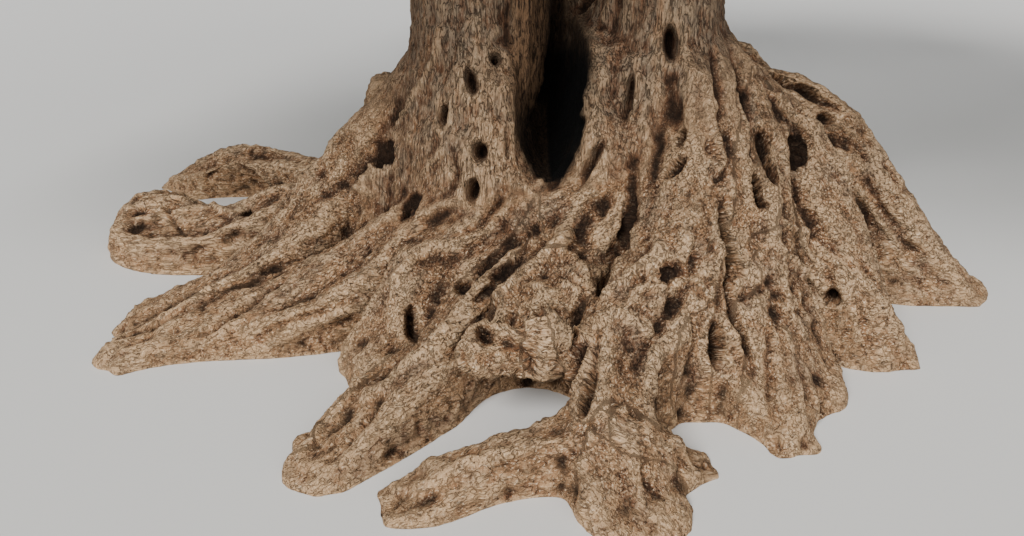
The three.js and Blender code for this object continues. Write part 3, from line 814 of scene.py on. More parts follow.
# %% Holes cut into the field
# Each row is the place in the picture, then the half width, half height and depth, and the lean.
HOLES = [
    (380, 152, 0.062, 0.058, 0.09, 30), (408, 203, 0.042, 0.064, 0.08, -12),
    (442, 116, 0.016, 0.038, 0.09, -8), (471, 82, 0.018, 0.042, 0.09, 14),
    (496, 59, 0.018, 0.019, 0.09, 0), (479, 152, 0.026, 0.032, 0.10, 0),
    (472, 191, 0.022, 0.040, 0.10, -8), (671, 44, 0.023, 0.058, 0.11, 8),
    (682, 138, 0.020, 0.030, 0.08, 10), (629, 98, 0.013, 0.085, 0.06, -3),
    (676, 168, 0.022, 0.044, 0.05, -30), (762, 142, 0.022, 0.060, 0.09, 12),
    (772, 170, 0.016, 0.050, 0.06, 22), (757, 191, 0.014, 0.060, 0.09, 10),
    (792, 152, 0.050, 0.070, 0.05, 10), (727, 243, 0.028, 0.105, 0.13, 5),
    (832, 298, 0.026, 0.028, 0.09, 30), (672, 276, 0.042, 0.036, 0.05, 20),
    (780, 80, 0.050, 0.024, 0.05, -30), (807, 93, 0.050, 0.022, 0.05, -35),
    (825, 119, 0.034, 0.026, 0.06, -20), (717, 343, 0.026, 0.080, 0.06, 0),
    (485, 335, 0.024, 0.030, 0.07, 30), (411, 324, 0.016, 0.060, 0.07, -8),
    (246, 212, 0.034, 0.030, 0.06, 0), (591, 160, 0.018, 0.080, 0.05, -25),
    (464, 288, 0.030, 0.026, 0.05, 0), (575, 370, 0.020, 0.090, 0.05, 5),
    (506, 268, 0.070, 0.024, 0.05, 38), (588, 392, 0.018, 0.080, 0.05, 5),
    (540, 311, 0.018, 0.016, 0.04, 0),
]
HOLE_LIP = 0.012
NARROW = 0.03


def hole_field(places, centre, axes, sizes):
    """The field of an ellipsoid that lies along a hole's own axes."""
    local = (places - centre) @ axes.T
    return (np.linalg.norm(local / sizes, axis=-1) - 1) * min(sizes)


def placed_hole(row):
    """The middle, the axes and the half sizes of a hole, and whether it is narrow.

    A hole runs partly straight in and partly away from the eye, so that its dark end is seen.
    """
    across, down, wide, high, deep, lean = row
    centre, outward = seen_at(across, down)
    outward = unit(outward + unit(np.array(EYE) - centre))
    return centre, hole_axes(outward, lean), np.array((wide, high, deep)), min(wide, high) < NARROW


placed_holes = [placed_hole(row) for row in HOLES]
for centre, axes, sizes, narrow in placed_holes:
    if not narrow:
        window, places = block_round(centre[None], max(sizes) + 3 * HOLE_LIP)
        field[window] = carve(field[window], hole_field(places, centre, axes, sizes), HOLE_LIP)
print("holes:", len(placed_holes), "narrow:", sum(hole[3] for hole in placed_holes))

# %% [markdown]
# ## Ridges and grooves
#
# Between the roots run smaller folds that no random rule would put in the right place: rope-like crests, and
# cracks where two strands never quite joined. Each is a line through places of the picture, which is carried
# to the wood in the same way as the holes. Later the skin is raised or sunk along these lines.

# %% Lines of ridges and grooves
# Each line is its rise in metres, its half width, and its places in the picture. A groove has a fall.
LINES = [
    (0.030, 0.050, (625, 180), (583, 197), (561, 240), (520, 280), (455, 332), (411, 363), (359, 403)),
    (0.022, 0.022, (556, 282), (575, 290), (582, 304)),
    (-0.030, 0.014, (518, 345), (526, 357), (531, 367)), (0.016, 0.018, (570, 273), (584, 286)),
    (-0.036, 0.014, (508, 124), (508, 142), (509, 162)),
    (0.026, 0.040, (512, 204), (491, 223), (462, 246), (424, 250), (400, 272), (378, 294)),
    (0.024, 0.030, (415, 216), (436, 206), (470, 200)),
    (-0.050, 0.018, (409, 306), (411, 321), (415, 346)),
    (-0.028, 0.024, (470, 304), (503, 279), (522, 268)),
    (-0.045, 0.020, (462, 238), (485, 223), (495, 204), (498, 192)),
    (-0.034, 0.024, (583, 300), (576, 332), (570, 364)),
    (-0.040, 0.026, (633, 185), (627, 223), (624, 268)),
    (-0.030, 0.024, (587, 294), (605, 284), (623, 274)),
    (0.026, 0.030, (594, 298), (583, 332), (575, 370), (570, 400)),
    (-0.040, 0.020, (604, 326), (596, 344), (588, 370), (587, 410)),
    (0.026, 0.036, (667, 225), (659, 254), (623, 284), (600, 298)),
    (0.022, 0.040, (608, 307), (640, 322), (656, 345), (650, 372), (652, 410)),
    (0.024, 0.026, (633, 286), (663, 287), (692, 280), (713, 299)),
    (0.026, 0.032, (713, 206), (711, 234), (698, 250), (692, 277)),
    (-0.070, 0.020, (726, 217), (724, 238), (728, 263), (726, 290), (729, 303), (738, 334), (751, 357)),
    (-0.030, 0.012, (692, 307), (692, 342)), (-0.045, 0.022, (717, 324), (717, 359), (728, 372)),
    (0.022, 0.026, (713, 307), (724, 322), (738, 353), (751, 382)),
    (0.022, 0.030, (770, 238), (795, 263), (832, 292)),
    (-0.035, 0.022, (809, 234), (824, 263), (838, 290)), (0.020, 0.026, (853, 305), (860, 345)),
    (0.030, 0.034, (762, 87), (794, 115), (815, 128), (829, 129)),
    (-0.050, 0.026, (770, 73), (786, 81), (806, 91), (827, 103), (841, 111)),
    (-0.045, 0.024, (788, 97), (802, 109), (826, 124)),
    (0.026, 0.036, (827, 146), (843, 171), (864, 195), (884, 224), (925, 248)),
    (-0.040, 0.026, (870, 197), (884, 215), (911, 246), (931, 256)),
    (-0.060, 0.016, (753, 128), (761, 146), (769, 171), (776, 182)),
    (0.020, 0.016, (763, 128), (771, 152), (780, 180)),
    (-0.060, 0.016, (755, 173), (759, 203), (766, 210)),
    (-0.035, 0.016, (768, 118), (773, 138), (790, 152), (800, 162), (794, 174)),
    (0.024, 0.022, (774, 220), (796, 230), (812, 237)),
    (-0.035, 0.020, (806, 238), (823, 256), (843, 275)),
    (0.024, 0.034, (277, 250), (251, 270), (212, 291), (168, 315), (134, 331)),
    (0.022, 0.032, (309, 285), (268, 313), (238, 320), (212, 338), (160, 350)),
    (-0.036, 0.024, (294, 272), (262, 294), (229, 322), (212, 331), (181, 345), (153, 350)),
    (0.022, 0.036, (364, 300), (329, 315), (288, 335), (250, 352)),
    (-0.032, 0.020, (327, 304), (316, 315), (275, 326), (252, 340)),
    (0.022, 0.030, (134, 205), (173, 200), (212, 207), (234, 215), (262, 203)),
    (-0.028, 0.018, (164, 207), (177, 228), (190, 241)),
    (0.022, 0.024, (595, 20), (592, 70), (585, 115), (576, 152), (560, 176), (535, 184), (510, 188)),
    (-0.034, 0.020, (598, 140), (587, 164), (580, 185), (572, 196)),
    (0.018, 0.026, (415, 180), (436, 160), (446, 144)),
    (-0.026, 0.020, (452, 150), (456, 175), (448, 196)),
    (0.022, 0.034, (700, 60), (708, 100), (716, 150), (722, 200)),
    (-0.030, 0.018, (731, 60), (741, 100), (748, 140)),
    (0.020, 0.030, (640, 110), (650, 150), (640, 190)),
    (-0.026, 0.018, (655, 190), (668, 168), (690, 150)),
    (0.020, 0.034, (380, 350), (345, 400), (300, 450)),
    (-0.026, 0.018, (395, 385), (360, 425), (320, 470)),
    (0.020, 0.030, (560, 440), (500, 452), (430, 480)),
    (-0.030, 0.018, (640, 425), (645, 470), (655, 515)),
    (0.020, 0.030, (668, 400), (676, 440), (690, 470)),
    (0.022, 0.030, (780, 300), (790, 350), (800, 420)),
    (-0.030, 0.018, (770, 320), (768, 370), (775, 420)),
    (0.020, 0.028, (440, 20), (432, 60), (415, 100), (385, 140)),
    (-0.020, 0.014, (462, 10), (455, 50), (440, 90)),
]
LONGEST_STEP = 0.16
PICTURE_STEP = 9


def carried_to_wood(places):
    """Places of the picture joined by a line, as points on the wood."""
    places = np.array(places, dtype=float)
    run = np.concatenate([[0], np.cumsum(np.linalg.norm(np.diff(places, axis=0), axis=1))])
    at = np.linspace(0, run[-1], max(3, int(run[-1] / PICTURE_STEP)))
    across, down = (np.interp(at, run, places[:, i]) for i in (0, 1))
    return np.array([seen_at(*place)[0] for place in zip(across, down)])


wood_lines = [(row[0], row[1], carried_to_wood(row[2:])) for row in LINES]
print("ridges:", sum(line[0] > 0 for line in wood_lines), "grooves:", sum(line[0] < 0 for line in wood_lines))

# %% Skin of the field
field[:, :, 0] = np.maximum(field[:, :, 0], CELL)
grid = openvdb.FloatGrid(TALL)
grid.copyFromArray(field)
points, triangles, quads = grid.convertToPolygons(isovalue=0.0)
points = points * CELL + GRID_LOW
print("skin:", len(points), "points", len(quads), "quads", len(triangles), "triangles")


# %% [markdown]
# ## Meshes from arrays
#
# Every mesh here starts as arrays of points and corners, which Blender takes in one go. The skin is then
# subdivided once, so that a coarse and quick field still carries fine bark.

# %% A mesh object from arrays
def mesh_object(name, points, faces, attributes=None, slots=None):
    """`faces` is a list of arrays of corner numbers, one array for each number of corners."""
    mesh = bpy.data.meshes.new(name)
    counts = np.concatenate([np.full(len(f), f.shape[1]) for f in faces]).astype(np.int32)
    corners = np.concatenate([f.ravel() for f in faces]).astype(np.int32)
    mesh.vertices.add(len(points))
    mesh.vertices.foreach_set("co", np.asarray(points, dtype=np.float32).ravel())
    mesh.loops.add(len(corners))
    mesh.loops.foreach_set("vertex_index", corners)
    mesh.polygons.add(len(counts))
    mesh.polygons.foreach_set("loop_start", (np.cumsum(counts) - counts).astype(np.int32))
    mesh.polygons.foreach_set("loop_total", counts)
    mesh.polygons.foreach_set("use_smooth", np.ones(len(counts), dtype=bool))
    if slots is not None:
        mesh.polygons.foreach_set("material_index", slots.astype(np.int32))
    mesh.update(calc_edges=True)
    for key, values in (attributes or {}).items():
        wide = values.ndim > 1
        layer = mesh.attributes.new(key, "FLOAT_VECTOR" if wide else "FLOAT", "POINT")
        layer.data.foreach_set("vector" if wide else "value", np.asarray(values, dtype=np.float32).ravel())
    obj = bpy.data.objects.new(name, mesh)
    bpy.context.scene.collection.objects.link(obj)
    return obj


def arrays_of(mesh):
    """The points and the quads of a mesh that has only quads."""
    points = np.empty(len(mesh.vertices) * 3, dtype=np.float32)
    mesh.vertices.foreach_get("co", points)
    corners = np.empty(len(mesh.loops), dtype=np.int32)
    mesh.loops.foreach_get("vertex_index", corners)
    return points.reshape(-1, 3).astype(float), corners.reshape(-1, 4)


# %% The skin subdivided
coarse = mesh_object("coarse_skin", points, [quads, triangles])
subdivision = coarse.modifiers.new("finer", "SUBSURF")
subdivision.levels = 1
finer = coarse.evaluated_get(bpy.context.evaluated_depsgraph_get()).to_mesh()
points, quads = arrays_of(finer)
coarse.to_mesh_clear()
bpy.data.objects.remove(coarse)
points[:, 2] = np.maximum(points[:, 2], 0)
print("finer skin:", len(points), "points", len(quads), "quads")


# %% [markdown]
# ## The grain of the wood
#
# Bark stretches the way the wood grows: up the stems, and out along each root. To lay folds and cracks that
# way, every point of the skin learns which root or stem it lies on, how far along it and how far to its side.
# Those three lengths are kept on the mesh, where the bark material can read them too.

# %% Normals of a skin of quads
TINY = 1e-12


def point_normals(points, quads):
    """At each point, the direction out of the faces round it, the large ones counting for more."""
    a, b, c, d = (points[quads[:, i]] for i in range(4))
    square = np.cross(c - a, d - b)
    total = np.zeros_like(points)
    for i in range(4):
        for axis in range(3):
            total[:, axis] += np.bincount(quads[:, i], weights=square[:, axis], minlength=len(points))
    return total / np.maximum(np.linalg.norm(total, axis=1), TINY)[:, None]


# %% Grain on one root
# A root's core is a share of its half width, and the last stretch of its line also counts for a few times
# its length past the toe.
ROOT_CORE = 0.6
LAST_STRETCH = 4


def on_root(points, line):
    """How far points lie outside a root, their grain there, and the way it grows."""
    best = np.full(len(points), FAR)
    place, side, past = np.zeros((3, len(points)))
    x, y = points[:, 0], points[:, 1]
    for i in range(len(line) - 1):
        a, way = line[i, :2], line[i + 1, :2] - line[i, :2]
        beyond = LAST_STRETCH if i == len(line) - 2 else 1
        t = np.clip(((x - a[0]) * way[0] + (y - a[1]) * way[1]) / (way @ way), 0, beyond)
        dx, dy = x - a[0] - way[0] * t, y - a[1] - way[1] * t
        away = dx * dx + dy * dy
        closer = away < best
        best = np.where(closer, away, best)
        place = np.where(closer, i + np.minimum(t, 1), place)
        past = np.where(closer, np.maximum(t - 1, 0) * math.hypot(*way), past)
        side = np.where(closer, np.sign(way[0] * dy - way[1] * dx), side)
    away = np.sqrt(best)
    steps = np.arange(len(line))
    run = np.concatenate([[0], np.cumsum(np.linalg.norm(np.diff(line[:, :3], axis=0), axis=1))])
    crest, half = np.interp(place, steps, line[:, 2]), np.interp(place, steps, line[:, 3])
    core = half * ROOT_CORE
    outside = np.hypot(np.maximum(away - core, 0), np.maximum(points[:, 2] - crest + core, 0))
    slope = np.gradient(line[:, :3], axis=0)
    way = np.stack([np.interp(place, steps, slope[:, i]) for i in range(3)], axis=1)
    here = np.stack([side * away, points[:, 2], np.interp(place, steps, run) + past], axis=1)
    return outside, here, unit(way)


# %% Grain of the whole skin
GRAIN_APART = 3.7
GRAIN_DRIFT = 0.35
# The change from root to stem, in metres of how much nearer one is than the other, and in height.
STEM_EDGE = (0.11, -0.09)
STEM_HEIGHTS = (0.95, 1.2)
ROOT_WEIGHT = 0.8
EDGE_WAVER, WAVER_SIZE = 0.05, 0.2

normals = point_normals(points, quads)
nearest = np.full(len(points), FAR)
grain = np.zeros((len(points), 3))
root_way = np.zeros((len(points), 3))
for index, line in enumerate(root_lines):
    outside, here, way = on_root(points, line)
    closer = outside < nearest
    nearest = np.where(closer, outside, nearest)
    grain[closer] = here[closer] + GRAIN_APART * (index + 1)
    root_way[closer] = way[closer]
# A little of the plain place is added, or the grain would run out into lines where a root bends.
grain += GRAIN_DRIFT * points

stem_gap = np.full(len(points), FAR)
for table in STEM_TABLES.values():
    cx, cy, half, depth = (np.interp(points[:, 2], table[:, 2], table[:, i]) for i in (0, 1, 3, 4))
    reach = np.sqrt(((points[:, 0] - cx) / half) ** 2 + ((points[:, 1] - cy) / depth) ** 2)
    stem_gap = np.minimum(stem_gap, (reach - 1) * half)
stem_nearer = stem_gap - nearest * ROOT_WEIGHT + EDGE_WAVER * noise(points, WAVER_SIZE, 3)
stem_share = np.maximum(swell(*STEM_EDGE, stem_nearer), swell(*STEM_HEIGHTS, points[:, 2]))
flow = root_way * (1 - stem_share)[:, None] - UP * stem_share[:, None]
flow -= normals * np.sum(flow * normals, axis=1)[:, None]
flow /= np.maximum(np.linalg.norm(flow, axis=1), 1e-6)[:, None]
print("on stems:", round(float((stem_share > 0.5).mean()), 2), "of the skin")

# %% [markdown]
# ## Folds, lumps and pits
#
# The skin is now pushed in and out along its own normals, in layers from broad to fine. Folds come from noise
# that is averaged along the grain, which smears it into long ridges: its absolute value gives round ridges
# with sharp grooves, and the same thing upside down gives sharp crests. Pits are dents round scattered dots.

# %% Noise along the grain
STREAK_GAIN = 1.6


def streaks(points, flow, size, length, seed, samples=7):
    """Noise smeared along the grain."""
    total = np.zeros(len(points), dtype=np.float32)
    for step in np.linspace(-0.5, 0.5, samples):
        total += noise(points + flow * (step * length), size, seed)
    return total / samples * STREAK_GAIN


def warped(points, size, push, seed):
    """Points moved about by noise, so that what is laid out on them bends."""
    return points + push * np.stack([noise(points, size, seed + i) for i in range(3)], axis=1)


# %% Layers of relief
# How far each layer pushes the skin, in metres.
BROAD_PUSH = 0.024
FOLD_PUSH = 0.030
CREST_PUSH = 0.020
RIB_PUSH = 0.012
KNOT_PUSH = 0.007
SMALL_KNOT_PUSH = 0.004
DENT_PUSH = -0.028
SMALL_DENT_PUSH = -0.010
FIBRE_PUSH = 0.0035
MIDDLE_FOLD = 0.22

# In each line come the size of its lumps, how far they are smeared along the grain, and a seed.
on_roots = 1 - stem_share
bent = warped(points, 0.22, 0.05, 30)
broad = BROAD_PUSH * streaks(bent, flow, 0.20, 0.45, 11)
uneven = 0.7 + 0.6 * noise(points, 0.5, 40)
folds = FOLD_PUSH * (np.abs(streaks(bent, flow, 0.085, 0.42, 13, 9)) - MIDDLE_FOLD) * uneven
crests = CREST_PUSH * (0.2 - np.abs(streaks(bent, flow, 0.11, 0.40, 41, 9))) * on_roots
ribs = RIB_PUSH * (np.abs(streaks(bent, flow, 0.035, 0.22, 14)) - MIDDLE_FOLD)
knots = KNOT_PUSH * noise(points, 0.055, 15) + SMALL_KNOT_PUSH * noise(points, 0.028, 16)
dots = pits(warped(grain, 0.09, 0.02, 20), (0.10, 0.10, 0.19), 17)
room = swell(-0.05, 0.4, noise(points, 0.35, 18)) * on_roots
dents = DENT_PUSH * swell(0.52, 0.06, dots) * room
small_dots = pits(warped(points, 0.05, 0.01, 50), 0.055, 19)
small_room = swell(-0.1, 0.4, noise(points, 0.2, 24)) * on_roots
small_dents = SMALL_DENT_PUSH * swell(0.36, 0.12, small_dots) * small_room
fibre = FIBRE_PUSH * streaks(points, flow, 0.014, 0.07, 43, 5)


# %% Ridges and grooves raised on the skin
# A line fades in and out over these shares of its length.
FADE_IN, FADE_OUT = (-0.05, 0.25), (1.05, 0.75)
LINE_WARP, LINE_WARP_SIZE = 0.014, 0.09
GROUND_FADE = (-0.01, 0.04)


def along_lines(points, lines):
    """The rise or fall of the skin beside the ridges and grooves."""
    total = np.zeros(len(points))
    for rise, half, line in lines:
        beside = (points > line.min(axis=0) - half) & (points < line.max(axis=0) + half)
        near = np.flatnonzero(np.all(beside, axis=1))
        best = np.full(len(near), FAR)
        place = np.zeros(len(near))
        for i, (a, b) in enumerate(zip(line[:-1], line[1:])):
            way = b - a
            if way @ way > LONGEST_STEP**2:
                continue
            t = np.clip((points[near] - a) @ way / (way @ way), 0, 1)
            away = np.linalg.norm(points[near] - a - t[:, None] * way, axis=1)
            place = np.where(away < best, (i + t) / (len(line) - 1), place)
            best = np.minimum(best, away)
        ends = np.minimum(swell(*FADE_IN, place), swell(*FADE_OUT, place))
        shape = swell(1, 0, best / half) if rise > 0 else np.clip(1 - best / half, 0, 1)
        total[near] += rise * shape * ends
    return total


drawn = along_lines(warped(points, LINE_WARP_SIZE, LINE_WARP, 70), wood_lines)
relief = broad + folds + crests + ribs + knots + dents + small_dents + fibre + drawn
low_fade = swell(*GROUND_FADE, points[:, 2])
points = points + normals * (relief * low_fade)[:, None]
points[:, 2] = np.maximum(points[:, 2], 0)
print("relief from", round(float(relief.min()) * 1000), "to", round(float(relief.max()) * 1000), "mm")

# %% Narrow holes pushed into the skin, and painted shade in every hole
HOLE_RIM = 1.25
HOLE_FLOOR = 0.55
HOLE_FACING = 0.12
SHADE_FULL_DEPTH = 0.09
# Each hole paints shade on its floor, full in holes as deep as the depth above or deeper.
hole_share = np.zeros(len(points))
for centre, axes, sizes, narrow in placed_holes:
    local = (points - centre) @ axes.T
    reach = np.hypot(local[:, 0] / sizes[0], local[:, 1] / sizes[1])
    facing = (np.abs(local[:, 2]) < HOLE_FACING) & (normals @ axes[2] > 0)
    share = swell(HOLE_RIM, HOLE_FLOOR, reach) * facing
    hole_share = np.maximum(hole_share, share * min(1, sizes[2] / SHADE_FULL_DEPTH))
    if narrow:
        points = points - axes[2] * (share * sizes[2])[:, None]
print("in holes:", int((hole_share > 0.5).sum()), "points")

# %% [markdown]
# ## Hollows and crests, for dirt, wear and painted light
#
# Where the surface is hollow the bark is darkened, partly as dirt and partly as painted shade, and crests are
# made pale, partly as wear and partly as a painted highlight. A mesh can tell which is which: a point that
# lies below the average of its neighbours is in a hollow. Averaging again and again compares it with a wider
# patch, so fine cracks and broad hollows are both found. The same measure is also 1 in the placed holes,
# which paints shade into them, and a second one marks the inside of the great hollow between the stems.

# %% Hollows measured on the mesh
def softened(points, quads, rounds):
    """Points moved to the average of their neighbours, several times."""
    number = len(points)
    counts = np.bincount(quads.ravel(), minlength=number)
    for _ in range(rounds):
        middles = points[quads].mean(axis=1)
        totals = np.zeros_like(points)
        for i, axis in np.ndindex(4, 3):
            totals[:, axis] += np.bincount(quads[:, i], weights=middles[:, axis], minlength=number)
        points = totals / counts[:, None]
    return points


# Each row is the rounds of averaging, the depth in metres that counts as 1, and the measure's weight.
HOLLOW_MEASURES = [(3, 0.0025, 0.50), (22, 0.017, 0.60), (50, 0.045, 0.60)]
# How much the holes' painted shade counts in the hollow measure.
HOLE_WEIGHT = 1.2
EDGE_ROUNDS = 2

normals = point_normals(points, quads)
hollow = np.zeros(len(points))
averaged = points
for rounds, depth, weight in HOLLOW_MEASURES:
    averaged = softened(averaged, quads, rounds)
    hollow += weight * (np.sum((averaged - points) * normals, axis=1) / depth)
hollow = np.clip(hollow + HOLE_WEIGHT * hole_share, -1, 1)
# Softened over a few points, so that no patch of dirt and painted shade has a hard edge.
hollow = softened(np.repeat(hollow[:, None], 3, axis=1), quads, EDGE_ROUNDS)[:, 0]
print("share in hollows:", round(float((hollow > 0.3).mean()), 2))

# %% Tone, and the inside of the trunk
# The bark's tone goes from pale roots, 0, to darker stems, 1, over more than half a metre.
TONE_OF_STEM, TONE_OF_HEIGHT = 0.4, 0.6
TONE_HEIGHTS = (0.5, 1.2)
TONE_WAVER, TONE_WAVER_SIZE = 0.12, 0.15
# The first three hollows make the great one. Its inside starts a little behind its mouth.
GREAT_HOLLOW = HOLLOWS[:3]
INNER_EDGE = (0.05, 0.0)
INNER_FRONT = (-0.50, -0.36)

height = points[:, 2] + TONE_WAVER * noise(points, TONE_WAVER_SIZE, 80)
tone = np.clip(TONE_OF_STEM * stem_share + TONE_OF_HEIGHT * swell(*TONE_HEIGHTS, height), 0, 1)
mouth = np.min([ellipsoid_field(*points.T, shape) for shape in GREAT_HOLLOW], axis=0)
inner = swell(*INNER_EDGE, mouth) * swell(*INNER_FRONT, points[:, 1])
print("share inside the trunk:", round(float((inner > 0.5).mean()), 3))

# %% [markdown]
# ## Bark
#
# Old olive bark is a rough grey-brown crust: short fibres and thin dark cracks that follow the grain,
# rust-brown streaks, pale flecks, worn crests that are partly a painted highlight, dirt and painted shade in
# every hollow and hole, and ochre dust on the lowest parts of the roots. Inside the great hollow the wood is
# old and brown, and painted black as shade where no light comes. Each of these is one layer of one material.
# On the stems the patterns are laid out by plain place, stretched upwards. On the roots and boughs they are
# laid out by the grain on the mesh.

# %% Helpers for materials
def colour(red, green, blue):
    """A colour as seen on a screen, from 0 to 255, as the linear numbers that a shader takes."""
    share = (c / 255 for c in (red, green, blue))
    return tuple(c / 12.92 if c <= 0.04045 else ((c + 0.055) / 1.055) ** 2.4 for c in share) + (1.0,)


def new_material(name, **sockets):
    material = bpy.data.materials.new(name)
    material.use_nodes = True
    shader = material.node_tree.nodes["Principled BSDF"]
    for key, value in sockets.items():
        shader.inputs[key.replace("_", " ")].default_value = value
    return material, material.node_tree, shader


def add(tree, kind, inputs=None, **settings):
    """A node with its settings and inputs; an input is a number or another node's socket."""
    made = tree.nodes.new(kind)
    for key, value in settings.items():
        setattr(made, key, value)
    for key, value in (inputs or {}).items():
        if isinstance(value, bpy.types.NodeSocket):
            tree.links.new(value, made.inputs[key])
        else:
            made.inputs[key].default_value = value
    return made


# %% Helpers for patterns
def stretched(tree, vector, sizes):
    """A vector measured in lumps of these sizes."""
    scale = tuple(1 / size for size in sizes)
    return add(tree, "ShaderNodeVectorMath", {0: vector, 1: scale}, operation="MULTIPLY").outputs[0]


def noise_of(tree, vector, sizes, detail=4.0, rough=0.6, warp=0.0):
    place = stretched(tree, vector, sizes)
    inputs = {"Vector": place, "Scale": 1.0, "Detail": detail, "Roughness": rough, "Distortion": warp}
    return add(tree, "ShaderNodeTexNoise", inputs).outputs[0]


def between(tree, value, low, high, start=0.0, end=1.0):
    """A value carried smoothly from one range to another."""
    inputs = {"Value": value, "From Min": low, "From Max": high, "To Min": start, "To Max": end}
    return add(tree, "ShaderNodeMapRange", inputs, interpolation_type="SMOOTHSTEP").outputs[0]


def blend_numbers(tree, share, a, b):
    return add(tree, "ShaderNodeMix", {0: share, 2: a, 3: b}, data_type="FLOAT").outputs[0]


def tint(tree, base, share, over):
    return add(tree, "ShaderNodeMix", {0: share, 6: base, 7: over}, data_type="RGBA").outputs[2]


def maths(tree, operation, a, b):
    return add(tree, "ShaderNodeMath", {0: a, 1: b}, operation=operation).outputs[0]


def attribute(tree, name, output):
    return add(tree, "ShaderNodeAttribute", attribute_name=name).outputs[output]


# %% Colours of the wood
ROOT_WOOD = colour(165, 126, 90)
STEM_WOOD = colour(123, 103, 83)
GREY_CRUST = colour(116, 102, 86)
WARM_WOOD = colour(136, 92, 58)
PALE_FLECK = colour(243, 217, 183)
DARK_FIBRE = colour(56, 42, 32)
RUSSET_AND_SHADE = colour(98, 62, 40)
DIRT_AND_SHADE = colour(28, 19, 13)
RUBBED_AND_HIGHLIGHT = colour(208, 174, 135)
DIM_WOOD = colour(80, 64, 50)
DUST = colour(196, 158, 118)
OLD_HEART = colour(112, 86, 63)
PAINTED_SHADE_BLACK = colour(5, 4, 3)


# %% Patterns of the bark
def thin_lines(tree, vector, sizes, width, detail=3.0):
    """1 along thin winding lines, 0 elsewhere: where noise passes through its middle."""
    level = noise_of(tree, vector, sizes, detail, 0.55, 0.4)
    away = maths(tree, "ABSOLUTE", maths(tree, "SUBTRACT", level, 0.5), 0.0)
    return between(tree, away, width, 0.0)


def bark_layers(tree):
    """Patterns that follow the grain, each from 0 to 1: on stems by plain place, on roots by the grain."""
    plain = add(tree, "ShaderNodeTexCoord").outputs["Object"]
    grain_place = attribute(tree, "grain", "Vector")
    stem = attribute(tree, "stem_share", "Fac")

    def on_both(make, root_sizes, stem_sizes, *args):
        on_root = make(tree, grain_place, root_sizes, *args)
        return blend_numbers(tree, stem, on_root, make(tree, plain, stem_sizes, *args))

    # Sizes are in metres, first on roots and then on stems. Then come the detail, the roughness and the warp.
    return {
        "place": plain,
        "tone": attribute(tree, "tone", "Fac"),
        "speck": on_both(noise_of, (0.008, 0.008, 0.011), (0.0065, 0.0065, 0.022), 4.0, 0.72, 0.2),
        "fibre": on_both(noise_of, (0.012, 0.012, 0.036), (0.008, 0.008, 0.075), 5.0, 0.66, 0.3),
        "fissure": on_both(thin_lines, (0.022, 0.022, 0.060), (0.017, 0.017, 0.110), 0.050),
        "streak": on_both(noise_of, (0.035, 0.035, 0.16), (0.035, 0.035, 0.30), 3.0, 0.6),
        "blotch": noise_of(tree, plain, (0.15, 0.15, 0.15), 4.0, 0.6),
        "mottle": noise_of(tree, plain, (0.030, 0.030, 0.040), 4.0, 0.65),
    }


# %% Colours laid over each other
def crusted(tree, layers):
    """Bare wood under a grey crust, with warm streaks and russet spots."""
    skin = tint(tree, ROOT_WOOD, layers["tone"], STEM_WOOD)
    skin = tint(tree, skin, between(tree, layers["blotch"], 0.42, 0.66, 0.0, 0.70), GREY_CRUST)
    skin = tint(tree, skin, between(tree, layers["streak"], 0.50, 0.70, 0.0, 0.55), WARM_WOOD)
    return tint(tree, skin, between(tree, layers["mottle"], 0.54, 0.36, 0.0, 0.55), RUSSET_AND_SHADE)


def flecks_wear_and_painted_light(tree, skin, layers, dip):
    """Crests worn pale, partly as a painted highlight, russet dips, partly painted shade,
    and pale flecks that are fewer on the stems.
    """
    tone = layers["tone"]
    # Convex crests are made pale, partly as wear and partly as a painted highlight.
    crest_wear_and_highlight = maths(tree, "MULTIPLY", between(tree, dip, -0.05, -0.6), blend_numbers(tree, tone, 0.60, 0.25))
    skin = tint(tree, skin, crest_wear_and_highlight, RUBBED_AND_HIGHLIGHT)
    # Shallow hollows are tinted russet, partly the bark's own colour and partly painted shade.
    skin = tint(tree, skin, between(tree, dip, 0.0, 0.50, 0.0, 0.72), RUSSET_AND_SHADE)
    patchy = between(tree, layers["blotch"], 0.70, 0.35, 0.4, 1.0)
    pale = maths(tree, "MULTIPLY", blend_numbers(tree, tone, 0.90, 0.24), patchy)
    flecked = maths(tree, "MULTIPLY", between(tree, layers["speck"], 0.52, 0.67), pale)
    skin = tint(tree, skin, flecked, PALE_FLECK)
    worn = maths(tree, "MULTIPLY", between(tree, layers["fibre"], 0.56, 0.70), pale)
    return tint(tree, skin, worn, RUBBED_AND_HIGHLIGHT)


def darkened(tree, skin, layers):
    """Dark fibres, thin cracks and dim patches."""
    skin = tint(tree, skin, between(tree, layers["speck"], 0.47, 0.33, 0.0, 0.85), DARK_FIBRE)
    skin = tint(tree, skin, between(tree, layers["fibre"], 0.48, 0.32, 0.0, 0.75), DARK_FIBRE)
    cracked = maths(tree, "MULTIPLY", layers["fissure"], blend_numbers(tree, layers["tone"], 0.65, 0.75))
    skin = tint(tree, skin, cracked, DIRT_AND_SHADE)
    return tint(tree, skin, between(tree, layers["blotch"], 0.49, 0.34, 0.0, 0.42), DIM_WOOD)


def heart_wood_and_shade(tree, layers, across, inward, height):
    """Old brown wood inside the trunk, painted black as shade at its right, at its back and low down."""
    # Where the hollow gets little light, its wood is painted black as shade.
    deep = maths(tree, "MAXIMUM", between(tree, across, -0.10, -0.05), between(tree, inward, -0.02, 0.14))
    deep = maths(tree, "MULTIPLY", deep, between(tree, height, 0.94, 1.12, 1.0, 0.70))
    deep = maths(tree, "MAXIMUM", deep, between(tree, height, 0.92, 0.72, 0.0, 0.80))
    old = tint(tree, OLD_HEART, between(tree, layers["fibre"], 0.55, 0.40, 0.0, 0.9), DIRT_AND_SHADE)
    return tint(tree, old, deep, PAINTED_SHADE_BLACK)


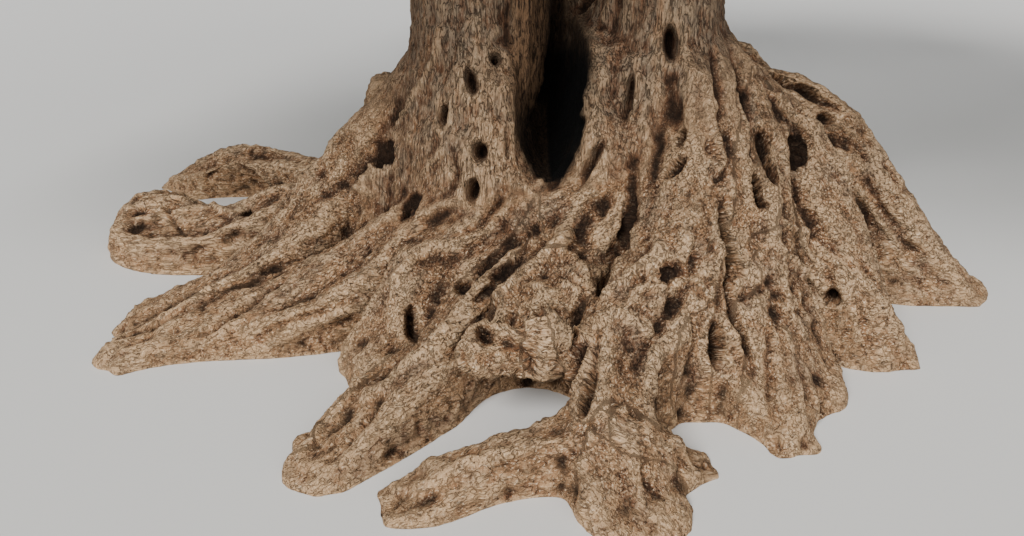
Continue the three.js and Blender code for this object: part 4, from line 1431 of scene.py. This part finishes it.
def bark_colour(tree, layers):
    """The wood's colours laid over each other, then dust, grime and painted shade in hollows and holes,
    and the trunk's dark inside, partly painted shade.
    """
    dip = attribute(tree, "hollow", "Fac")
    skin = flecks_wear_and_painted_light(tree, crusted(tree, layers), layers, dip)
    skin = darkened(tree, skin, layers)
    across, inward, height = add(tree, "ShaderNodeSeparateXYZ", {0: layers["place"]}).outputs
    low = between(tree, height, 0.30, 0.0, 0.0, 0.35)
    skin = tint(tree, skin, maths(tree, "MULTIPLY", low, between(tree, layers["mottle"], 0.35, 0.60)), DUST)
    # Deeper hollows and the holes are darkened, partly as dirt and partly as painted shade.
    skin = tint(tree, skin, between(tree, dip, 0.20, 0.95, 0.0, 0.90), DIRT_AND_SHADE)
    heart_and_shade = heart_wood_and_shade(tree, layers, across, inward, height)
    return tint(tree, skin, attribute(tree, "inner", "Fac"), heart_and_shade)


# %% The bark and its bump
BARK_ROUGHNESS = 0.92
BARK_SHINE = 0.15
# Beside the fibres' own height, which is 1.
SPECK_HEIGHT, CRACK_DEPTH, MOTTLE_HEIGHT = 0.7, 0.5, 0.9
BUMP_STRENGTH, BUMP_DISTANCE = 0.9, 0.012


def bark_height(tree, layers):
    """Fibres, specks and mottle stand up, and cracks are cut in."""
    rough = maths(tree, "ADD", layers["fibre"], maths(tree, "MULTIPLY", layers["speck"], SPECK_HEIGHT))
    cut = maths(tree, "SUBTRACT", rough, maths(tree, "MULTIPLY", layers["fissure"], CRACK_DEPTH))
    return maths(tree, "ADD", cut, maths(tree, "MULTIPLY", layers["mottle"], MOTTLE_HEIGHT))


def bark_material():
    sockets = {"Roughness": BARK_ROUGHNESS, "Specular_IOR_Level": BARK_SHINE}
    material, tree, shader = new_material("bark", **sockets)
    layers = bark_layers(tree)
    tree.links.new(bark_colour(tree, layers), shader.inputs["Base Color"])
    sizes = {"Strength": BUMP_STRENGTH, "Distance": BUMP_DISTANCE, "Height": bark_height(tree, layers)}
    bump = add(tree, "ShaderNodeBump", sizes)
    tree.links.new(bump.outputs[0], shader.inputs["Normal"])
    return material


bark = bark_material()
print("bark nodes:", len(bark.node_tree.nodes))

# %% [markdown]
# ## The trunk as pieces
#
# The finished skin is cut into pieces of under 200,000 triangles, which the export takes unchanged. Each
# piece is given the whole skin's normals, so that no seam shows where two of them meet.

# %% Trunk pieces
PIECE_TRIANGLES = 190_000


def part_of_skin(name, chosen):
    """A piece of the trunk from some of its faces."""
    used, corners = np.unique(quads[chosen], return_inverse=True)
    layers = {"grain": grain, "stem_share": stem_share, "tone": tone, "hollow": hollow, "inner": inner}
    kept = {key: values[used] for key, values in layers.items()}
    piece = mesh_object(name, points[used], [corners.reshape(-1, 4)], kept)
    piece.data.normals_split_custom_set_from_vertices(normals[used])
    piece.data.materials.append(bark)
    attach(piece, "root")
    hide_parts("trunk")
    return len(chosen) * 2


normals = point_normals(points, quads)
headings = np.arctan2(*points[quads].mean(axis=1)[:, 1::-1].T)
in_turn = np.argsort(headings)
piece_count = math.ceil(2 * len(quads) / PIECE_TRIANGLES)
chosen_faces = np.array_split(in_turn, piece_count)
sizes = [part_of_skin(f"trunk_bark_{i}", chosen) for i, chosen in enumerate(chosen_faces)]
print("triangles of the trunk's pieces:", sizes)

# %% [markdown]
# ## Boughs
#
# A bough is a tube round its line, with bark relief that follows its own length. It starts inside what it
# grows from. A bough that leaves another bough has a thick foot, as wood grows into a fork.

# %% Tubes
def tube_frames(lines):
    """Two ways square to each point of many lines, that never twist."""
    along = unit(np.gradient(lines, axis=1))
    whole = unit(lines[:, -1] - lines[:, 0])
    steady = np.eye(3)[np.argmin(np.abs(whole), axis=1)]
    across = unit(np.cross(along, steady[:, None, :]))
    return across, np.cross(along, across)


def tubes(lines, radii, sides):
    """Points and faces of closed tubes along `lines`, of shape (number, steps, 3)."""
    number, steps = lines.shape[:2]
    across, over = tube_frames(lines)
    turn = np.arange(sides) * 2 * np.pi / sides
    ring = np.cos(turn)[:, None] * across[:, :, None] + np.sin(turn)[:, None] * over[:, :, None]
    points = (lines[:, :, None] + ring * radii[:, :, None, None]).reshape(-1, 3)
    first = np.arange(number)[:, None, None] * steps * sides
    ring_start = first + np.arange(steps - 1)[None, :, None] * sides
    a = ring_start + np.arange(sides)[None, None, :]
    b = ring_start + (np.arange(sides)[None, None, :] + 1) % sides
    walls = np.stack([a, b, b + sides, a + sides], axis=-1).reshape(-1, 4)
    foot = first[:, 0, 0][:, None] + np.arange(sides)[None, ::-1]
    head = first[:, 0, 0][:, None] + (steps - 1) * sides + np.arange(sides)[None, :]
    return points, walls, np.concatenate([foot, head])


# %% Bark on the boughs
BOUGH_RINGS = 90
BOUGH_SIDES = 30
FORK_SWELL = 0.55
FORK_REACH = 0.09
TIP_DRAWN_IN = 0.15
BOUGHS_APART = 5.1
# Heights as shares of the bough's radius, each with the size of its lumps across and along.
LUMP, LUMP_SIZE = 0.10, (0.14, 0.14, 0.5)
KNOT, KNOT_SIZE = 0.05, (0.05, 0.05, 0.2)
FURROW, FURROW_SIZE = 0.10, (0.05, 0.05, 0.35)
FURROW_MIDDLE = 0.25
FURROW_HOLLOW_GAIN = 6


def swollen_radii(name, shares, run):
    """A bough's radii, thick where it leaves another bough and drawn in at its tip."""
    radius = bough_radius(name, shares) * (1 - TIP_DRAWN_IN * swell(0.9, 1.0, shares))
    parent, fork = BOUGHS[name][:2]
    if parent in BOUGHS:
        out = np.maximum(run - bough_radius(parent, fork), 0)
        radius = radius * (1 + FORK_SWELL * np.exp(-out / FORK_REACH))
    return radius


def bough_piece(name):
    shares = np.linspace(0.0, 1.0, BOUGH_RINGS)
    line = bough_line(name, shares)
    run = np.concatenate([[0], np.cumsum(np.linalg.norm(np.diff(line, axis=0), axis=1))])
    radius = swollen_radii(name, shares, run)
    skin, walls, ends = tubes(line[None], radius[None], BOUGH_SIDES)
    centre = np.repeat(line, BOUGH_SIDES, axis=0)
    outward = unit(skin - centre)
    across, over = tube_frames(line[None])
    ways = (np.repeat(axis[0], BOUGH_SIDES, axis=0) for axis in (across, over))
    local = [np.sum((skin - centre) * way, axis=1) for way in ways]
    place = np.stack([*local, np.repeat(run, BOUGH_SIDES) + BOUGHS_APART * ORDER.index(name)], axis=1)
    size = np.repeat(radius, BOUGH_SIDES)
    lumps = LUMP * noise(place, LUMP_SIZE, 61) + KNOT * noise(place, KNOT_SIZE, 62)
    furrows = FURROW * (np.abs(noise(place, FURROW_SIZE, 63)) - FURROW_MIDDLE)
    push = (lumps + furrows) * size * np.repeat(swell(1.0, 0.93, shares), BOUGH_SIDES)
    none = np.zeros(len(skin))
    # Furrows are darkened as dirt and painted shade, and the ridges between them made pale as a painted
    # highlight, through the bark's hollow measure.
    bough_hollow = np.clip(-furrows * FURROW_HOLLOW_GAIN, -1, 1)
    made = {"stem_share": none, "tone": none + 1, "inner": none, "hollow": bough_hollow}
    # The fibres of a bough are longer than a root's.
    made["grain"] = place * (1, 1, 0.5)
    piece = mesh_object(f"bough_{name}_bark", skin + outward * push[:, None], [walls, ends], made)
    piece.data.materials.append(bark)
    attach(piece, "root")
    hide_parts(f"bough_{name}")


for name in ORDER:
    bough_piece(name)
print("boughs:", len(ORDER), "with", BOUGH_RINGS * BOUGH_SIDES, "points each")

# %% [markdown]
# ## How the foliage grows
#
# The solids show each mass of foliage by a few limbs, twigs and large blades, placed by a seeded rule. The
# same rule runs again here with the same numbers, so each limb and twig is where its solid is. Then it goes
# on: every limb and twig carries branchlets, every branchlet carries shoots, and every shoot carries leaves
# in pairs. A part is only grown where it keeps to its mass's own space and clear of the boughs.

# %% The rule for limbs and twigs
LIMBS = 4
TWIGS = 2
TWIG_LEAN = 0.8
SPACE_GAP = 0.04
LIMB_GAP = 0.04
GAP = 0.0003
KNEE_REACH = 0.22
# Radii as shares of the mass's own stem, where it starts.
STEM_OF_BOUGH = 0.85
KNEE_THICK, HUB_THICK = 0.75, 0.45
LIMB_THICK, TWIG_THICK = (0.42, 0.22), (0.25, 0.15)
# Where each starts and ends: a share, and how much a seeded number adds to it.
LIMB_START, LIMB_END = (0.15, 0.8), (0.42, 0.1)
TWIG_START, TWIG_END = (0.45, 0.35), (0.5, 0.12)
SEED_START, SEED_STEP = 700, 53
STEEP = 0.8
NEAR_BOUGHS = 1.6
SPACES = {name: space_of(name) for name in ORDER}
SAMPLE_SHARES = np.linspace(0, 1, 31)
SAMPLES = np.concatenate([bough_line(name, SAMPLE_SHARES) for name in ORDER])
SAMPLE_HALVES = np.concatenate([bough_radius(name, SAMPLE_SHARES) for name in ORDER])


def varied(shares, number):
    """A share, and another that grows with a number."""
    return shares[0] + shares[1] * number


def seeded_numbers(seed):
    """The same numbers between 0 and 1 for the same seed."""
    state = seed
    turns = 0
    while True:
        state = (state * 1664525 + 1013904223) % 4294967296
        turns += 1
        if turns > 8:
            yield state / 4294967296


# %% Room for the foliage
def depth_in(name, places):
    """How far out places lie in a mass's space: 0 in its middle, 1 on its edge."""
    middle, radii = SPACES[name]
    return np.linalg.norm((places - middle) / radii, axis=-1)


def in_own_space(name, places):
    """Whether places lie in a mass's space, apart from the other masses and clear of the boughs."""
    places = np.atleast_2d(places)
    own = depth_in(name, places)
    kept = own <= 1
    for other in ORDER:
        if other != name:
            kept &= depth_in(other, places) > own + SPACE_GAP
    near = np.linalg.norm(SAMPLES - SPACES[name][0], axis=1) < NEAR_BOUGHS
    for sample, half in zip(SAMPLES[near], SAMPLE_HALVES[near]):
        kept &= np.sum((places - sample) ** 2, axis=1) > (half + LIMB_GAP) ** 2
    return kept


# %% Limbs and twigs
def spread_ways(count, spin):
    """Ways spread evenly over a sphere."""
    i = np.arange(count)
    z = 1 - (2 * i + 1) / count
    turn = i * math.pi * (3 - math.sqrt(5)) + spin
    flat = np.sqrt(1 - z * z)
    return np.stack([flat * np.cos(turn), flat * np.sin(turn), z], axis=1)


def bent_way(way, lean, angle):
    """Ways bent off others by `lean`, towards an angle round them."""
    steep = np.abs(way[..., 2:3]) > STEEP
    across = unit(np.cross(np.where(steep, (1.0, 0.0, 0.0), UP), way))
    over = np.cross(way, across)
    lean, angle = np.asarray(lean)[..., None], np.asarray(angle)[..., None]
    return unit(way + lean * (np.cos(angle) * across + np.sin(angle) * over))


def leader_of(name):
    """Where a mass's own stem starts, bends and ends, and how thick it starts."""
    middle, radii = SPACES[name]
    tip = bough_line(name, 1.0)
    along = unit(tip - bough_line(name, 0.99))
    foot = tip + along * GAP
    knee = foot + along * KNEE_REACH * radii[0]
    return foot, knee, lerp(middle, knee, 0.25), BOUGHS[name][3] * STEM_OF_BOUGH


def main_stems(name):
    """The leader, the limbs and the twigs of a mass: where each starts and ends, and its two radii."""
    random = seeded_numbers(SEED_START + SEED_STEP * ORDER.index(name))
    middle, radii = SPACES[name]
    foot, knee, hub, thick = leader_of(name)
    leader = [
        (foot, knee, thick, thick * KNEE_THICK),
        (lerp(knee, foot, 0.15), hub, thick * KNEE_THICK, thick * HUB_THICK),
    ]
    limbs = []
    for way in spread_ways(LIMBS, next(random) * 2 * math.pi):
        start = lerp(knee, hub, varied(LIMB_START, next(random)))
        end = middle + way * radii * varied(LIMB_END, next(random))
        turn = next(random) * 2 * math.pi
        if not in_own_space(name, end)[0]:
            continue
        limbs.append((start, end, *(thick * share for share in LIMB_THICK)))
        for twig in range(TWIGS):
            angle = turn + twig * 2 * math.pi / TWIGS
            fork = lerp(start, end, varied(TWIG_START, next(random)))
            twig_end = middle + bent_way(way, TWIG_LEAN, angle) * radii * varied(TWIG_END, next(random))
            if in_own_space(name, twig_end)[0]:
                limbs.append((fork, twig_end, *(thick * share for share in TWIG_THICK)))
    return leader, limbs


print("limbs and twigs:", {name: len(main_stems(name)[1]) for name in ORDER})

# %% [markdown]
# ## Branchlets, shoots and leaves
#
# An olive leaf is a narrow blade, up to 9 cm long and under 2 cm wide, dark above and silvery below. The
# leaves stand in pairs, each pair turned a quarter round from the last. A leaf here is six points and three
# faces in its own outline, with its tip bent down a little, so that a whole crown stays light enough.

# %% Growing the finer parts
BRANCHLETS = 13
SHOOTS = 6
PAIRS = 9
LEAF_LONG, LEAF_WIDE = 0.078, 0.018
LEAF_TRIANGLES = 4
BRANCHLET_LONG = (0.34, 0.62)
SHOOT_LONG = (0.20, 0.36)
DROOP = 0.16
# Each child turns on from the last by about the angle that keeps leaves out of each other's shade.
NEXT_TURN = 2.4
PARENT_TURN = 1.3
TURN_VARY = 0.9
LEAN_VARY = (0.6, 1.3)
# Children further out along their parent lean less and are shorter.
LEAN_FALL, LENGTH_FALL = (1.1, -0.6), (1.1, -0.3)


def bent_line(start, way, long, droop, steps=4):
    """Lines that set out along `way` and bend down with their own weight."""
    t = np.linspace(0, 1, steps)[None, :, None]
    long = long[:, None, None]
    return start[:, None] + way[:, None] * long * t - UP * droop * long * t * t


def grow(name, lines, count, long, lean, first, random):
    """Children along parent lines, kept where their ends stay in their mass's own space."""
    steps = lines.shape[1]
    along = unit(lines[:, -1] - lines[:, 0])
    parents = np.repeat(np.arange(len(lines)), count)
    number = np.tile(np.arange(count), len(lines))
    share = first + (1 - first) * (number + random.uniform(0, TURN_VARY, len(parents))) / count
    place = np.minimum((share * (steps - 1)).astype(int), steps - 2)
    part = (share * (steps - 1) - place)[:, None]
    start = lerp(lines[parents, place], lines[parents, place + 1], part)
    angle = number * NEXT_TURN + random.uniform(0, TURN_VARY, len(parents)) + parents * PARENT_TURN
    leans = lean * random.uniform(*LEAN_VARY, len(parents)) * varied(LEAN_FALL, share)
    way = bent_way(along[parents], leans, angle)
    lengths = random.uniform(*long, len(parents)) * varied(LENGTH_FALL, share)
    made = bent_line(start, way, lengths, DROOP)
    kept = in_own_space(name, made[:, -1]) & in_own_space(name, made[:, 2])
    return made[kept]


# %% Leaves in pairs
FIRST_PAIR = 0.10
LEAF_LEAN = (0.7, 1.35)
LEAF_TWIST = 0.35
LEAF_VARY = (0.75, 1.12)
SMALLER_AT_TIP = 0.35
SHOOT_TURN = 0.7


def leaves_on(name, shoots, random):
    """Root, way and length of the leaves on shoots, and which shoot carries each."""
    share = np.linspace(FIRST_PAIR, 1.0, PAIRS)
    steps = shoots.shape[1]
    place = np.minimum((share * (steps - 1)).astype(int), steps - 2)
    part = (share * (steps - 1) - place)[None, :, None]
    roots = lerp(shoots[:, place], shoots[:, place + 1], part)
    along = unit(shoots[:, place + 1] - shoots[:, place])
    number = len(shoots) * PAIRS
    roots = np.repeat(roots.reshape(number, 3), 2, axis=0)
    along = np.repeat(along.reshape(number, 3), 2, axis=0)
    pair = np.tile(np.repeat(np.arange(PAIRS), 2), len(shoots))
    side = np.tile((0, 1), number)
    shoot = np.repeat(np.arange(len(shoots)), 2 * PAIRS)
    twist = random.uniform(-LEAF_TWIST, LEAF_TWIST, 2 * number)
    angle = pair * np.pi / 2 + side * np.pi + shoot * SHOOT_TURN + twist
    way = bent_way(along, random.uniform(*LEAF_LEAN, 2 * number), angle)
    smaller = 1 - SMALLER_AT_TIP * (pair / PAIRS) ** 3
    size = LEAF_LONG * random.uniform(*LEAF_VARY, 2 * number) * smaller
    kept = in_own_space(name, roots + way * size[:, None])
    return roots[kept], way[kept], size[kept], shoot[kept]


# %% Blades of the leaves
# A leaf's outline: how far along it each point is, how far to the side, and how far it is bent down.
LEAF_OUTLINE = [
    (0, 0, 0), (0.30, -0.95, 0), (0.30, 0.95, 0), (0.70, -0.85, 0.04), (0.70, 0.85, 0.04), (1, 0, 0.12),
]
TIP_FACES = ((0, 2, 1), (3, 4, 5))
MIDDLE_FACE = (1, 2, 4, 3)
LEAF_ROLL = 0.55


def leaf_blades(roots, ways, sizes, random):
    """Six points and three faces for each leaf."""
    up = UP + LEAF_ROLL * random.normal(size=ways.shape)
    across = unit(np.cross(ways, up))
    face = np.cross(across, ways)
    wide = sizes * (LEAF_WIDE / LEAF_LONG) / 2

    def point(along, side, sink):
        step = ways * (sizes * along)[:, None] + across * (wide * side)[:, None]
        return roots + step - face * (sizes * sink)[:, None]

    places = np.stack([point(*row) for row in LEAF_OUTLINE], axis=1).reshape(-1, 3)
    first = len(LEAF_OUTLINE) * np.arange(len(roots))[:, None]
    tips = np.concatenate([first + face for face in TIP_FACES], axis=1).reshape(-1, 3)
    return places, tips, first + MIDDLE_FACE


# %% Leaf and twig colours
LEAF_COLOURS = {
    "leaf_olive": colour(118, 128, 88),
    "leaf_deep": colour(92, 106, 72),
    "leaf_sage": colour(140, 148, 116),
    "leaf_silver": colour(176, 180, 158),
    "leaf_young": colour(146, 152, 100),
}
LEAF_SHARES = (0.34, 0.24, 0.20, 0.12, 0.10)
TWIG_COLOURS = {
    "limb_bark": colour(112, 99, 84),
    "twig_bark": colour(124, 116, 98),
    "shoot_bark": colour(128, 128, 96),
}


def plain_materials(colours, roughness):
    return [new_material(key, Base_Color=value, Roughness=roughness)[0] for key, value in colours.items()]


leaf_materials = plain_materials(LEAF_COLOURS, 0.5)
twig_materials = plain_materials(TWIG_COLOURS, 0.85)


# %% Tubes for limbs and twigs
def joined(parts):
    """Several sets of points, faces and slot numbers as one."""
    places, faces, slots, shift = [], [], [], 0
    for points, groups, slot in parts:
        places.append(points)
        faces += [group + shift for group in groups]
        slots += [np.full(len(group), slot) for group in groups]
        shift += len(points)
    return np.concatenate(places), faces, np.concatenate(slots)


def straight_lines(stems, steps=6):
    starts, ends = (np.array([stem[i] for stem in stems]) for i in (0, 1))
    t = np.linspace(0, 1, steps)[None, :, None]
    lines = lerp(starts[:, None], ends[:, None], t)
    radii = lerp(*(np.array([stem[i] for stem in stems])[:, None] for i in (2, 3)), t[..., 0])
    return lines, radii


def tapering(lines, radii):
    return np.repeat(np.linspace(*radii, lines.shape[1])[None], len(lines), axis=0)


# %% Foliage pieces
FIRST_FOLIAGE_SEED = 900
BRANCHLET_LEAN, SHOOT_LEAN = 1.1, 0.9
BRANCHLET_FIRST, SHOOT_FIRST = 0.30, 0.12
BRANCHLET_RADII = (0.0055, 0.0028)
SHOOT_RADII = (0.0024, 0.0010)


def twigs_of(name, leader, limbs, branchlets, shoots):
    """A mass's leader, limbs, branchlets and shoots as one piece, and its number of triangles."""
    parts = []
    for lines, radii, sides, slot in (
        (*straight_lines(leader), 12, 0),
        (*straight_lines(limbs), 8, 0),
        (branchlets, tapering(branchlets, BRANCHLET_RADII), 3, 1),
        (shoots, tapering(shoots, SHOOT_RADII), 3, 2),
    ):
        places, walls, ends = tubes(lines, radii, sides)
        parts.append((places, [walls, ends], slot))
    places, faces, slots = joined(parts)
    piece = mesh_object(f"foliage_{name}_twigs", places, faces, slots=slots)
    return piece, sum(len(face) * (face.shape[1] - 2) for face in faces)


def leaves_of(name, shoots, random):
    """A mass's leaves as one piece, every shoot's leaves of one colour, and their number."""
    roots, ways, sizes, shoot = leaves_on(name, shoots, random)
    blades, tips, middles = leaf_blades(roots, ways, sizes, random)
    dealt = random.choice(len(LEAF_SHARES), size=len(shoots), p=LEAF_SHARES)[shoot]
    colours = np.concatenate([np.repeat(dealt, 2), dealt])
    return mesh_object(f"foliage_{name}_leaves", blades, [tips, middles], slots=colours), len(roots)


def foliage_pieces(name):
    random = np.random.default_rng(FIRST_FOLIAGE_SEED + ORDER.index(name))
    leader, limbs = main_stems(name)
    limb_lines = straight_lines(limbs)[0]
    branchlets = grow(name, limb_lines, BRANCHLETS, BRANCHLET_LONG, BRANCHLET_LEAN, BRANCHLET_FIRST, random)
    shoots = grow(name, branchlets, SHOOTS, SHOOT_LONG, SHOOT_LEAN, SHOOT_FIRST, random)
    twigs, triangles = twigs_of(name, leader, limbs, branchlets, shoots)
    leaves, number = leaves_of(name, shoots, random)
    for piece, materials in ((twigs, twig_materials), (leaves, leaf_materials)):
        for material in materials:
            piece.data.materials.append(material)
        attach(piece, "root")
        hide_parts(f"foliage_{name}")
    return number, triangles


counts = {name: foliage_pieces(name) for name in ORDER}
print("leaves and twig triangles:", counts)
print("leaves in all:", sum(leaves for leaves, _ in counts.values()))
print("triangles in all:", sum(LEAF_TRIANGLES * leaves + twigs for leaves, twigs in counts.values()))

# %% [markdown]
# ## Floor and light
#
# The tree stands on a plain pale floor in soft light. A pale sky lights it from everywhere, a broad sun from
# the upper left gives the roots their form, and a very soft light from low in front reaches under the crown.
# Both are distant lights, because a lamp near the tree would burn out the leaves beside it.

# %% Floor and light
FLOOR_HALF = 16.0
floor = bpy.data.meshes.new("floor")
corners = [(x * FLOOR_HALF, y * FLOOR_HALF, 0) for x, y in ((-1, -1), (1, -1), (1, 1), (-1, 1))]
floor.from_pydata(corners, [], [(0, 1, 2, 3)])
floor_object = bpy.data.objects.new("floor", floor)
bpy.context.scene.collection.objects.link(floor_object)
floor.materials.append(new_material("pale_floor", Base_Color=colour(214, 212, 208), Roughness=0.9)[0])
floor_object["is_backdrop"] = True

SKY_COLOUR = (0.93, 0.96, 1.0, 1)
SKY_STRENGTH = 0.33
world = bpy.data.worlds.new("sky")
bpy.context.scene.world = world
world.use_nodes = True
world.node_tree.nodes["Background"].inputs["Color"].default_value = SKY_COLOUR
world.node_tree.nodes["Background"].inputs["Strength"].default_value = SKY_STRENGTH


def distant_light(name, energy, location, rotation, width):
    """A sun, with its rotation and its width in the sky in degrees. A wide one throws soft shadows."""
    data = bpy.data.lights.new(name, "SUN")
    data.energy = energy
    data.angle = math.radians(width)
    made = bpy.data.objects.new(name, data)
    made.location = location
    made.rotation_euler = [math.radians(angle) for angle in rotation]
    bpy.context.scene.collection.objects.link(made)


distant_light("sun", 3.75, (0, 0, 8), (42, -30, 0), 25)
distant_light("low_fill", 2.3, (0, -6, 3), (70, 0, 14), 70)

# %% Sizes
MODEL_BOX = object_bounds()
sizes = {"cad": [list(corner) for corner in CAD_BOX], "model": [list(corner) for corner in MODEL_BOX]}
print("box:", sizes)
